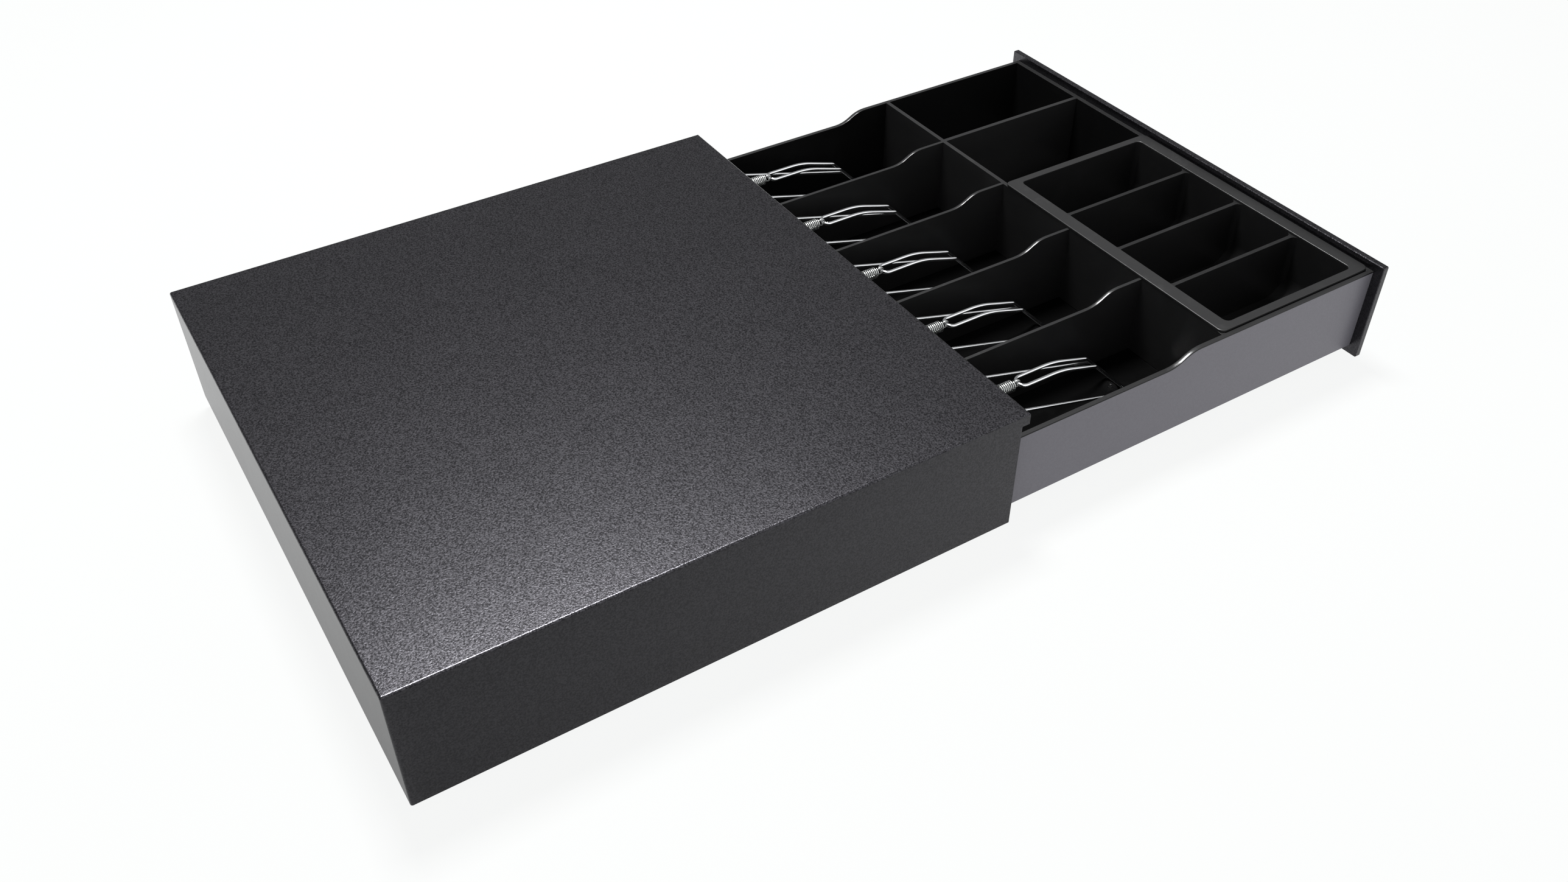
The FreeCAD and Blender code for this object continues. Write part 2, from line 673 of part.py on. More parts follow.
def front_rollers():
    """Nylon rollers just inside the opening that carry the drawer pan."""
    height = "pan_bottom - running - front_roller"
    ears, axles = [], []
    for side, sign in SIDES:
        middle = f"{sign} * front_roller_x"
        start = (f"{middle} - front_roller_half", "front_roller_y", height)
        solid = cylinder(f"roller_{side}_solid", "x", start, "front_roller", "2 * front_roller_half")
        bore = cylinder(f"roller_{side}_bore", "x", start, "front_axle + running", "2 * front_roller_half")
        finish(cut(f"front_roller_{side}", solid, [bore]), f"front_roller_{side}")
        axle_half = "(front_roller_half + ear_play + ear_sheet)"
        start = (f"{middle} - {axle_half}", "front_roller_y", height)
        axles.append(cylinder(f"front_axle_{side}", "x", start, "front_axle", f"2 * {axle_half}"))
        for end in (-1, 1):
            inside = f"{middle} + {end} * (front_roller_half + ear_play)"
            outside = f"{middle} + {end} * {axle_half}"
            tip = f"{middle} + {end} * (front_roller_half + ear_reach)"
            ear_x = sorted((inside, outside), key=size)
            foot_x = sorted((inside, tip), key=size)
            along = ("front_roller_y - ear_half", "front_roller_y + ear_half")
            name = f"bracket_{side}_{'outer' if end > 0 else 'inner'}"
            ear = box(f"{name}_ear", ear_x, along, ("case_sheet", f"{height} + front_axle + 0.5"))
            foot = box(f"{name}_foot", foot_x, along, ("case_sheet", "case_sheet + ear_foot"))
            start = (ear_x[0], "front_roller_y", height)
            hole = cylinder(f"{name}_hole", "x", start, "front_axle", "ear_sheet")
            ears.append(cut(name, fuse(f"{name}_blank", [ear, foot]), [hole]))
    group("roller_brackets", ears)
    group("front_roller_axles", axles)


def coil(name, centre, axis_turn, radius, wire, turns, pitch):
    """A helical wire from centre along +Y or +Z, starting on the +X side."""
    spine = doc.addObject("Part::Helix", f"{name}_helix")
    spine.setExpression("Radius", bound(radius))
    spine.setExpression("Pitch", bound(pitch))
    spine.setExpression("Height", bound(f"{turns} * {pitch}"))
    spine.Placement.Rotation = TURNS[axis_turn]
    place(spine, *centre)
    section = doc.addObject("Part::Circle", f"{name}_section")
    section.setExpression("Radius", bound(wire))
    section.Placement.Rotation = TURNS["z" if axis_turn == "y" else "y"]
    place(section, f"{centre[0]} + {radius}", centre[1], centre[2])
    doc.recompute()
    made = doc.addObject("Part::Sweep", name)
    made.Sections = [section]
    made.Spine = (spine, [f"Edge{i + 1}" for i in range(len(spine.Shape.Edges))])
    made.Solid = True
    made.Frenet = True
    return made


def ejectors():
    """Springs on posts at the back wall, which push the unlatched drawer open."""
    springs, posts = [], []
    wall = "case_rear - case_sheet"
    length = "ejector_turns * ejector_pitch"
    for side, sign in SIDES:
        x, z = f"{sign} * ejector_x", "ejector_z"
        plate_start = (x, f"{wall} - ejector_base", z)
        stem_start = (x, f"{wall} - ejector_reach", z)
        coil_start = (x, f"{wall} - ejector_base - {length} - ejector_wire - {PLAY}", z)
        plate = cylinder(f"ejector_plate_{side}", "y", plate_start, "ejector_plate", "ejector_base")
        stem = cylinder(f"ejector_stem_{side}", "y", stem_start, "ejector_stem", "ejector_reach - 1")
        posts.append(fuse(f"ejector_post_{side}", [plate, stem]))
        springs.append(
            coil(
                f"ejector_coil_{side}",
                coil_start,
                "y",
                "ejector_coil",
                "ejector_wire",
                "ejector_turns",
                "ejector_pitch",
            )
        )
    group("ejector_springs", springs)
    group("ejector_posts", posts)


def latch_bracket():
    wall = "case_rear - case_sheet"
    floor = "case_sheet"
    wide = ("0 - bracket_half", "bracket_half")
    deep = (f"{wall} - bracket_depth", wall)
    back = box("bracket_back", wide, (f"{wall} - bracket_sheet", wall), (floor, "bracket_top"))
    foot = box("bracket_foot", wide, deep, (floor, f"{floor} + bracket_sheet"))
    shelf_x = ("0 - solenoid_half", "solenoid_half")
    shelf = box("bracket_shelf", shelf_x, deep, ("solenoid_high", "solenoid_high + bracket_sheet"))
    cheeks = []
    for side, sign in SIDES:
        cheek_x = sorted((f"{sign} * cheek_gap", f"{sign} * (cheek_gap + bracket_sheet)"), key=size)
        cheeks.append(box(f"cheek_{side}", cheek_x, ("cheek_front", wall), (floor, "cheek_top")))
    pin_hole = cylinder("latch_pin_hole", "x", ("0 - 5", "latch_y", "latch_z"), "latch_pin", "10")
    taps = [
        cylinder(f"foot_hole_{i}", "z", seat, "screw_large", "4") for i, seat in enumerate(LATCH_SEATS)
    ]
    blank = fuse("latch_bracket_blank", [back, foot, shelf, *cheeks])
    finish(cut("latch_bracket", blank, [pin_hole, *taps]), "latch_bracket")
    screws("latch_screws", "z", LATCH_SEATS, 1, "screw_large", "3", "screw_head", "1.8")


def latch_lever():
    """A lever whose hook drops into the strike plate's window."""
    pin_start = ("0 - cheek_gap - bracket_sheet - 0.7", "latch_y", "latch_z")
    pin_length = "2 * (cheek_gap + bracket_sheet + 0.7)"
    finish(cylinder("latch_pivot_pin", "x", pin_start, "latch_pin", pin_length), "latch_pivot_pin")
    body = new_body("latch_lever")
    side_view = sketch(body, "side_view", "YZ_Plane")
    tip = "latch_y - lever_reach"
    outline(
        side_view,
        [
            (f"{tip} + 0.7", "latch_z - lever_hook"),
            (f"{tip} + 3.4", "latch_z - lever_hook"),
            (f"{tip} + 3.4", "latch_z - 2.2"),
            ("latch_y - 2", "latch_z - lever_boss"),
            ("latch_y", "latch_z - lever_boss", "lever_boss", 1),
            ("latch_y + lever_boss", "latch_z", "lever_boss", 1),
            ("latch_y", "latch_z + lever_boss"),
            (tip, "latch_z + 1.6"),
            (tip, "latch_z - 4.4"),
        ],
    )
    pad(body, side_view, "lever_width", symmetric=True)
    holes = sketch(body, "holes", "YZ_Plane")
    circle(holes, "latch_y", "latch_z", "latch_pin + running")
    round_rectangle(holes, "plunger_y - 1.6", "plunger_y + 1.6", "latch_z - 1.6", "latch_z + 1.4", "0.5")
    pocket(body, holes, "10", symmetric=True)


def solenoid():
    """Coil, frame, plunger and return spring above the lever."""
    low, high, axis = "solenoid_low", "solenoid_high", "plunger_y"
    frame_x = ("0 - solenoid_half", "solenoid_half")
    frame_y = (f"{axis} - solenoid_deep", f"{axis} + solenoid_deep")
    outer = box("frame_outer", frame_x, frame_y, (low, high))
    window_y = (f"{axis} - solenoid_deep + solenoid_sheet", f"{axis} + solenoid_deep - solenoid_sheet")
    window_z = (f"{low} + solenoid_sheet", f"{high} - solenoid_sheet")
    window = box("frame_window", ("0 - solenoid_half - 1", "solenoid_half + 1"), window_y, window_z)
    throat = cylinder("frame_throat", "z", ("0", axis, low), "plunger_radius + running", "solenoid_sheet")
    finish(cut("solenoid_frame", outer, [window, throat]), "solenoid_frame")
    winding_start = ("0", axis, f"{low} + solenoid_sheet + 1")
    winding_length = f"{high} - {low} - 2 * solenoid_sheet - 2"
    winding = cylinder("coil_winding", "z", winding_start, "winding", winding_length)
    lower = cylinder("coil_cheek_low", "z", ("0", axis, f"{low} + solenoid_sheet"), "bobbin", "1")
    upper = cylinder("coil_cheek_high", "z", ("0", axis, f"{high} - solenoid_sheet - 1"), "bobbin", "1")
    core = cylinder("coil_core", "z", ("0", axis, low), "plunger_radius + running", winding_length)
    finish(cut("solenoid_coil", fuse("coil_blank", [winding, lower, upper]), [core]), "solenoid_coil")

    rod = cylinder("plunger_rod", "z", ("0", axis, "latch_z - 3.4"), "plunger_radius", "25.4")
    collar = cylinder("plunger_collar", "z", ("0", axis, "latch_z + 4.8"), "collar_radius", "1")
    mouth_x = ("0 - lever_width / 2 - 0.15", "lever_width / 2 + 0.15")
    mouth_y = (f"{axis} - 6", f"{axis} + 6")
    mouth = box("plunger_mouth", mouth_x, mouth_y, ("latch_z - 5", "latch_z + 3.6"))
    eye = cylinder("plunger_eye", "x", ("0 - 4", axis, "latch_z"), "1", "8")
    plunger = cut("solenoid_plunger", fuse("plunger_blank", [rod, collar]), [mouth, eye])
    finish(plunger, "solenoid_plunger")
    finish(cylinder("plunger_pin", "x", ("0 - 2.8", axis, "latch_z"), "1", "5.6"), "plunger_pin")
    spring_start = ("0", axis, "latch_z + 6.3")
    spring = coil("latch_spring", spring_start, "z", "latch_coil", "latch_wire", "latch_turns", "latch_pitch")
    finish(spring, "latch_spring")


def electrics():
    """Control socket in the base, cable to the coil, and a reed switch that senses the closed drawer."""
    body = new_body("control_socket")
    shell = sketch(body, "shell", "XY_Plane")
    socket_outline(shell, "0", "0.8")
    pad(body, shell, "socket_height")
    contact_room = ("socket_x - 5", "socket_x + 5", "socket_y - 4", "socket_y + 3")
    mouth = sketch(body, "mouth", "XY_Plane")
    rectangle(mouth, *contact_room)
    rectangle(mouth, "socket_x - 1.5", "socket_x + 1.5", "socket_y + 3", "socket_y + 4.6")
    pocket(body, mouth, "socket_height - 4", backwards=True)
    ledge = sketch(body, "ledge", "XY_Plane", "case_sheet")
    socket_outline(ledge, "socket_ledge", "1")
    pad(body, ledge, "1.5")
    again = sketch(body, "mouth_through_ledge", "XY_Plane")
    rectangle(again, *contact_room)
    pocket(body, again, "4", backwards=True)

    start = Vector(size("socket_x"), size("socket_y"), size("socket_height"))
    stop = Vector(8.7, size("plunger_y"), 56)
    rise, back, run = Vector(0, 0, 8), Vector(0, 12, 0), Vector(-60, 0, 0)
    bend, wide_bend = 6, 8
    corners = [
        (start, 0),
        (start + rise, bend),
        (start + rise + back, bend),
        (start + rise + back + run, wide_bend),
        (stop + Vector(20, 3, 0), wide_bend),
        (stop, 0),
    ]
    finish(wire_sweep("wiring_cable", corners, "1.6"), "wiring_cable")

    along = ("184", "190")
    capsule = box("reed_case", ("0 - 75", "0 - 53"), along, ("case_sheet", "12"))
    foot = box("reed_foot", ("0 - 80", "0 - 48"), along, ("case_sheet", "case_sheet + 2"))
    finish(fuse("reed_switch", [capsule, foot]), "reed_switch")


# ---------------------------------------------------------------- drawer


def step_points(drop, back_y):
    """The upper edge of the drawer's walls from front to back, lowered by drop: high, a smooth step down,
    low, then a smooth rise to the clip rods."""
    front_radius = "((slope_rear - slope_front)^2 + (wall_high - wall_low)^2) / (4 * (wall_high - wall_low))"
    rear_radius = "((hump_rear - hump_front)^2 + (hump_top - wall_low)^2) / (4 * (hump_top - wall_low))"
    return [
        ("slope_front", f"wall_high - {drop}", front_radius, -1),
        ("(slope_front + slope_rear) / 2", f"(wall_high + wall_low) / 2 - {drop}", front_radius, 1),
        ("slope_rear", f"wall_low - {drop}"),
        ("hump_front", f"wall_low - {drop}", rear_radius, 1),
        ("(hump_front + hump_rear) / 2", f"(wall_low + hump_top) / 2 - {drop}", rear_radius, -1),
        ("hump_rear", f"hump_top - {drop}"),
        (back_y, f"hump_top - {drop}"),
    ]


def step_points_back(drop):
    """The same edge from back to front."""
    forward = step_points(drop, "pan_rear")[:-1]
    turned = []
    for i in range(len(forward) - 1, -1, -1):
        spot = forward[i][:2]
        before = forward[i - 1] if i else ()
        turned.append((*spot, before[2], -before[3]) if len(before) == 4 else spot)
    return turned


def drawer_pan():
    """The folded steel pan. Its side walls step down between the coins and the notes."""
    body = new_body("drawer_pan")
    side = sketch(body, "side", "YZ_Plane")
    outline(
        side,
        [
            ("pan_rear", "pan_bottom"),
            ("panel_inner", "pan_bottom"),
            ("panel_inner", "wall_high - till_lip"),
            *step_points("till_lip", "pan_rear"),
        ],
    )
    pad(body, side, "pan_width", symmetric=True)
    inside = sketch(body, "inside", "XY_Plane", "pan_bottom + pan_sheet")
    reach = "pan_width / 2 - pan_sheet"
    rectangle(inside, f"0 - ({reach})", reach, "panel_inner + pan_sheet", "pan_rear - pan_sheet")
    pocket(body, inside, "100", backwards=True)
    slot = sketch(body, "cam_slot", "XY_Plane")
    rectangle(slot, "cam_slot_left", "cam_slot_right", "cam_slot_front", "cam_slot_rear")
    pocket(body, slot, "pan_bottom + 4", backwards=True)
    front_holes = sketch(body, "front_holes", "XZ_Plane", "0 - (panel_inner + 5)")
    circle(front_holes, "0", "lock_height", f"lock_barrel + {PLAY}")
    for x, z in PANEL_SCREWS:
        circle(front_holes, x, z, "screw_clear")
    pocket(body, front_holes, "10", backwards=True)
    rear_holes = sketch(body, "rear_holes", "XZ_Plane", "0 - (pan_rear + 1)")
    for x in STRIKE_SCREWS:
        circle(rear_holes, x, "strike_screw_z", "screw_large")
    pocket(body, rear_holes, "4", backwards=True)
    axle_holes = sketch(body, "axle_holes", "YZ_Plane")
    circle(axle_holes, "rear_roller_y", "rear_roller_z", "rear_axle")
    pocket(body, axle_holes, WHOLE, symmetric=True)


STRIKE_SCREWS = ("0 - strike_screw_x", "strike_screw_x")
PANEL_SCREWS = [(f"{sign} * {x}", str(z)) for sign in (-1, 1) for x in (60, 165) for z in (20, 58)]


def front_panel():
    """The front panel, as wide as the housing."""
    body = new_body("front_panel")
    face = sketch(body, "face", "XZ_Plane", "0 - panel_inner")
    round_rectangle(face, "0 - case_width / 2", "case_width / 2", "0", "panel_height", "1.2")
    pad(body, face, "panel_thick")
    holes = sketch(body, "lock_hole", "XZ_Plane", "0 - panel_inner")
    circle(holes, "0", "lock_height", "lock_barrel")
    pocket(body, holes, "panel_thick", backwards=True)
    taps = sketch(body, "tapped_holes", "XZ_Plane", "0 - panel_inner")
    for x, z in PANEL_SCREWS:
        circle(taps, x, z, "screw_small")
    pocket(body, taps, "3.6", backwards=True)
    outer, inner = size("panel_inner - panel_thick"), size("panel_inner")
    half, top = size("case_width / 2"), size("panel_height")

    def outer_rim(middle, _along):
        edge = middle.z < 1.3 or middle.z > top - 1.3 or abs(middle.x) > half - 1.3
        return near(middle.y, outer) and edge

    def inner_rim(middle, _along):
        edge = middle.z < 1.3 or middle.z > top - 1.3 or abs(middle.x) > half - 1.3
        return near(middle.y, inner) and edge

    dress(body, "Fillet", "1", outer_rim)
    dress(body, "Chamfer", "0.5", inner_rim)


def panel_screws():
    seats = [(x, "panel_inner + pan_sheet", z) for x, z in PANEL_SCREWS]
    screws("panel_screws", "y", seats, -1, "screw_small", "4.4", "screw_head", "1.3")


NOTE_INDEXES = (-2, -1, 0, 1, 2)


def note_span(index):
    """The inside of a note compartment from its low to its high X."""
    half = "(note_pitch - note_wall) / 2"
    wall = "(pan_width / 2 - pan_sheet - till_gap - till_wall)"
    low = f"0 - {wall}" if index == NOTE_INDEXES[0] else f"{index} * note_pitch - {half}"
    high = wall if index == NOTE_INDEXES[-1] else f"{index} * note_pitch + {half}"
    return low, high


def till_insert():
    """One moulding with five note compartments, two fixed front compartments and the coin tray's recess."""
    body = new_body("till_insert")
    bottom = "pan_bottom + pan_sheet + till_gap"
    front = "panel_inner + pan_sheet + 1.6"
    rear = "pan_rear - pan_sheet - till_gap"
    block = sketch(body, "block", "YZ_Plane")
    outline(
        block,
        [(rear, bottom), (front, bottom), (front, "wall_high"), *step_points("0", rear)],
    )
    pad(body, block, "pan_width - 2 * (pan_sheet + till_gap)", symmetric=True)
    lip = sketch(body, "lip", "YZ_Plane")
    outline(
        lip,
        [
            ("panel_inner", "wall_high - till_lip"),
            ("panel_inner", "wall_high"),
            *step_points("0", "pan_rear"),
            ("pan_rear", "hump_top - till_lip"),
            *step_points_back("till_lip"),
        ],
    )
    pad(body, lip, "pan_width", symmetric=True)
    wall = "(pan_width / 2 - pan_sheet - till_gap - till_wall)"
    rooms = sketch(body, "rooms", "XY_Plane", "till_floor")
    for index in NOTE_INDEXES:
        rectangle(rooms, *note_span(index), "note_front", "note_rear")
    coin_rear = "note_front - coin_wall"
    coin_front = "panel_inner + pan_sheet + 1.6 + till_front_wall"
    spans = (
        ("0 - " + wall, "recess_side - coin_wall / 2"),
        ("recess_side + coin_wall / 2", "coin_split - coin_wall / 2"),
        ("coin_split + coin_wall / 2", wall),
    )
    for low, high in spans:
        rectangle(rooms, low, high, coin_front, coin_rear)
    pocket(body, rooms, "100", backwards=True)
    slot = sketch(body, "cam_slot", "XY_Plane")
    rectangle(slot, "cam_slot_left", "cam_slot_right", "cam_slot_front + 0.1", "cam_slot_rear")
    pocket(body, slot, "till_floor + 1", backwards=True)
    rods = sketch(body, "rod_holes", "YZ_Plane")
    circle(rods, "rod_y", "rod_z", "rod_radius")
    circle(rods, "anchor_y", "anchor_z", "anchor_radius")
    pocket(body, rods, WHOLE, symmetric=True)
    lock_hole = sketch(body, "lock_hole", "XZ_Plane", "0 - (panel_inner + 6)")
    circle(lock_hole, "0", "lock_height", f"lock_barrel + {PLAY}")
    pocket(body, lock_hole, "10", backwards=True)


def clip_rods():
    """Two steel rods through the till's walls: one carries the clips, the other holds their springs."""
    reach = "(pan_width / 2 - pan_sheet - till_gap)"
    start = f"0 - {reach}"
    rod = cylinder("clip_pivot_rod", "x", (start, "rod_y", "rod_z"), "rod_radius", f"2 * {reach}")
    anchor = cylinder("anchor_rod", "x", (start, "anchor_y", "anchor_z"), "anchor_radius", f"2 * {reach}")
    finish(rod, "clip_pivot_rod")
    finish(anchor, "spring_anchor_rod")


def note_clip(number, middle):
    """A bent wire: two arms from the pivot rod, two feet that press on the notes, and a finger loop."""
    x = size(middle)
    arm, loop = size("clip_arm"), size("clip_loop")
    slope = math.radians(size("arm_slope"))
    ring = size("rod_radius + running + clip_wire")
    down = Vector(0, -math.cos(slope), -math.sin(slope))
    start = Vector(0, size("rod_y"), size("rod_z")) + Vector(0, -math.sin(slope), math.cos(slope)) * ring
    foot = Vector(0, size("foot_y_clip"), size("foot_z_clip"))
    top = Vector(0, size("loop_top_y"), size("loop_top_z"))
    climb = (top - foot).normalize()
    # the arm's straight line meets the plane of the feet and the loop's front
    reach = ((foot - start).cross(climb)).x / (down.cross(climb)).x
    knee = start + down * reach
    rise = Vector(0, size("loop_rise_y"), size("loop_end_z"))
    end = Vector(0, size("loop_end_y"), size("loop_end_z"))

    def at(point, across):
        return Vector(x + across, point.y, point.z)

    turn = (arm - loop) / 2 - 0.1
    knee_bend, front_bend, rear_bend = 5, 6, 60
    half = [
        (at(start, arm), 0),
        (at(knee, arm), knee_bend),
        (at(foot, arm), turn),
        (at(foot, loop), turn),
        (at(top, loop), front_bend),
        (at(rise, loop), rear_bend),
        (at(end, loop), loop - 0.1),
    ]
    other = [(Vector(2 * x - p.x, p.y, p.z), bend) for p, bend in reversed(half)]
    sweep = wire_sweep(f"clip_wire_{number}", half + other, "clip_wire")
    eyes = [
        torus(
            f"clip_eye_{number}_{side}",
            "x",
            (f"{middle} + {sign} * clip_arm", "rod_y", "rod_z"),
            "rod_radius + running + clip_wire",
            "clip_wire",
        )
        for side, sign in SIDES
    ]
    finish(fuse(f"note_clip_{number}", [sweep, *eyes]), f"note_clip_{number}")


def clip_spring(number, middle):
    """An extension spring from a clip's finger loop back to the anchor rod: close turns behind the finger
    loop, a long straight wire behind them, and a loop at each end round the wire or rod that it holds."""
    name = f"clip_spring_{number}"
    x, z = size(middle), size("anchor_z")
    ring, radius = size("hook_ring"), size("coil_radius")
    turn_up, tight = 1.6, 0.7  # first leg of a hook, and its small bends
    drop = 1.4  # the straight wire lies this far below the rear loop's middle
    front, rear = size("loop_end_y + hook_shift"), size("anchor_y - hook_shift")
    coil_front = "loop_end_y + hook_shift + hook_ring + 1.5"
    start, stop = size(coil_front), size(f"{coil_front} + coil_turns * coil_pitch")
    front_hook = [
        (Vector(x + radius, start, z), 0),
        (Vector(x + radius, start, z - turn_up), tight),
        (Vector(x, start, z - turn_up), tight),
        (Vector(x, front + ring, z - turn_up), tight),
        (Vector(x, front + ring, z + ring), ring),
        (Vector(x, front - ring, z + ring), ring),
        (Vector(x, front - ring, z - ring), ring),
        (Vector(x, front + 0.5, z - ring), 0),
    ]
    rear_hook = [
        (Vector(x + radius, stop, z), 0),
        (Vector(x + radius, stop, z + turn_up), tight),
        (Vector(x, stop, z - drop), tight),
        (Vector(x, rear - ring, z - drop), 1),
        (Vector(x, rear - ring, z + ring), ring),
        (Vector(x, rear + ring, z + ring), ring),
        (Vector(x, rear + ring, z - ring), ring),
        (Vector(x, rear - 0.5, z - ring), 0),
    ]
    coil_start = (middle, coil_front, "anchor_z")
    wound = coil(f"{name}_coil", coil_start, "y", "coil_radius", "coil_wire", "coil_turns", "coil_pitch")
    hooks = [
        wire_sweep(f"{name}_front", front_hook, "coil_wire"),
        wire_sweep(f"{name}_rear", rear_hook, "coil_wire"),
    ]
    group(name, [wound, *hooks])


def coin_tray():
    """The lift-out tray: a flat rim that rests on the till's walls, and four cups with a scooped front."""
    body = new_body("coin_tray")
    under = "tray_top - tray_rim"
    cups = sketch(body, "cups", "XY_Plane", "cup_floor - cup_wall")
    left = "cup_first - cup_width / 2 - cup_wall"
    right = "cup_first + 3 * cup_pitch + cup_width / 2 + cup_wall"
    front, rear = "cup_front - cup_wall", "cup_rear + cup_wall"
    round_rectangle(cups, left, right, front, rear, "cup_corner + cup_wall")
    pad(body, cups, f"{under} - cup_floor + cup_wall")
    rim = sketch(body, "rim", "XY_Plane", under)
    round_rectangle(rim, "tray_left", "tray_right", "tray_front", "tray_rear", "tray_round")
    pad(body, rim, "tray_rim")
    mouth = sketch(body, "mouth", "XY_Plane", under)
    round_rectangle(
        mouth,
        "cup_first - cup_width / 2",
        "cup_first + 3 * cup_pitch + cup_width / 2",
        "cup_front",
        "cup_rear",
        "cup_corner",
    )
    pocket(body, mouth, "tray_rim", backwards=True)
    cup = sketch(body, "cup", "XY_Plane", "cup_floor")
    half = "cup_width / 2"
    round_rectangle(cup, f"cup_first - {half}", f"cup_first + {half}", "cup_front", "cup_rear", "cup_corner")
    first = pocket(body, cup, f"{under} - cup_floor", backwards=True)
    row = body.newObject("PartDesign::LinearPattern", "cup_row")
    row.Originals = [first]
    row.Direction = (next(f for f in body.Origin.OriginFeatures if f.Role == "X_Axis"), [""])
    row.setExpression("Length", bound("3 * cup_pitch"))
    row.Occurrences = 4
    body.Tip = row
    doc.recompute()
    into = "cup_wall / 4"  # how far the curves' profiles reach into the cups' walls
    middle_of_row = "cup_first + 1.5 * cup_pitch"
    curves = sketch(body, "curves", "YZ_Plane", middle_of_row)
    outline(
        curves,
        [
            (f"cup_front - {into}", f"cup_floor - {into}"),
            ("cup_front + cup_scoop", f"cup_floor - {into}"),
            ("cup_front + cup_scoop", "cup_floor", "cup_scoop", -1),
            ("cup_front", "cup_floor + cup_scoop"),
            (f"cup_front - {into}", "cup_floor + cup_scoop"),
        ],
    )
    outline(
        curves,
        [
            (f"cup_rear + {into}", f"cup_floor - {into}"),
            (f"cup_rear + {into}", "cup_floor + cup_heel"),
            ("cup_rear", "cup_floor + cup_heel", "cup_heel", -1),
            ("cup_rear - cup_heel", "cup_floor"),
            ("cup_rear - cup_heel", f"cup_floor - {into}"),
        ],
    )
    pad(body, curves, f"3 * cup_pitch + cup_width + 2 * {into}", symmetric=True)

    def rim_edge(middle, _along):
        return near(middle.z, size("tray_top"))

    dress(body, "Fillet", "0.6", rim_edge)


def rear_rollers():
    """Rollers on stub axles at the pan's rear corners, which run in the guide rails."""
    axles = []
    for side, sign in SIDES:
        inner = f"{sign} * (pan_width / 2)"

        def disc(name, near_x, far_x, radius):
            low, high = sorted((f"{inner} + {sign} * {near_x}", f"{inner} + {sign} * {far_x}"), key=size)
            start = (low, "rear_roller_y", "rear_roller_z")
            return cylinder(name, "x", start, radius, f"({high}) - ({low})")

        stub = disc(f"stub_{side}", "(0 - 1)", "4.9", "rear_axle")
        collar = disc(f"collar_{side}", "0", "0.9", "4")
        cap = disc(f"cap_{side}", "4.5", "4.9", "3.4")
        axles.append(fuse(f"rear_axle_{side}", [stub, collar, cap]))
        wheel = disc(f"wheel_{side}", "1", "4.4", "rear_roller")
        bore = disc(f"wheel_bore_{side}", "0.5", "4.8", "rear_axle + running")
        finish(cut(f"rear_roller_{side}", wheel, [bore]), f"rear_roller_{side}")
    group("rear_roller_axles", axles)


def strike_plate():
    """The catch on the pan's back wall: an angle with a window for the latch lever's tip, and beside it the
    magnet that the reed switch senses."""
    back = "pan_rear"
    flange = box("strike_flange", ("0 - 16", "16"), (back, f"{back} + strike_sheet"), ("18", "34"))
    tongue = box("strike_tongue", ("0 - 9", "9"), (back, f"{back} + 14"), ("34 - strike_sheet", "34"))
    window = box("strike_window", ("0 - 3", "3"), (f"{back} + 5.2", f"{back} + 10"), ("30", "36"))
    holes = [
        cylinder(f"strike_hole_{i}", "y", (x, back, "strike_screw_z"), "screw_clear", "3")
        for i, x in enumerate(STRIKE_SCREWS)
    ]
    finish(cut("strike_plate", fuse("strike_blank", [flange, tongue]), [window, *holes]), "strike_plate")
    seats = [(x, f"{back} + strike_sheet", "strike_screw_z") for x in STRIKE_SCREWS]
    screws("strike_screws", "y", seats, -1, "screw_large", "2.3", "screw_head", "1.6")
    upright = ("pan_bottom + 1", "pan_bottom + 7")
    finish(box("sensor_magnet", ("0 - 70", "0 - 58"), (back, f"{back} + 4"), upright), "sensor_magnet")


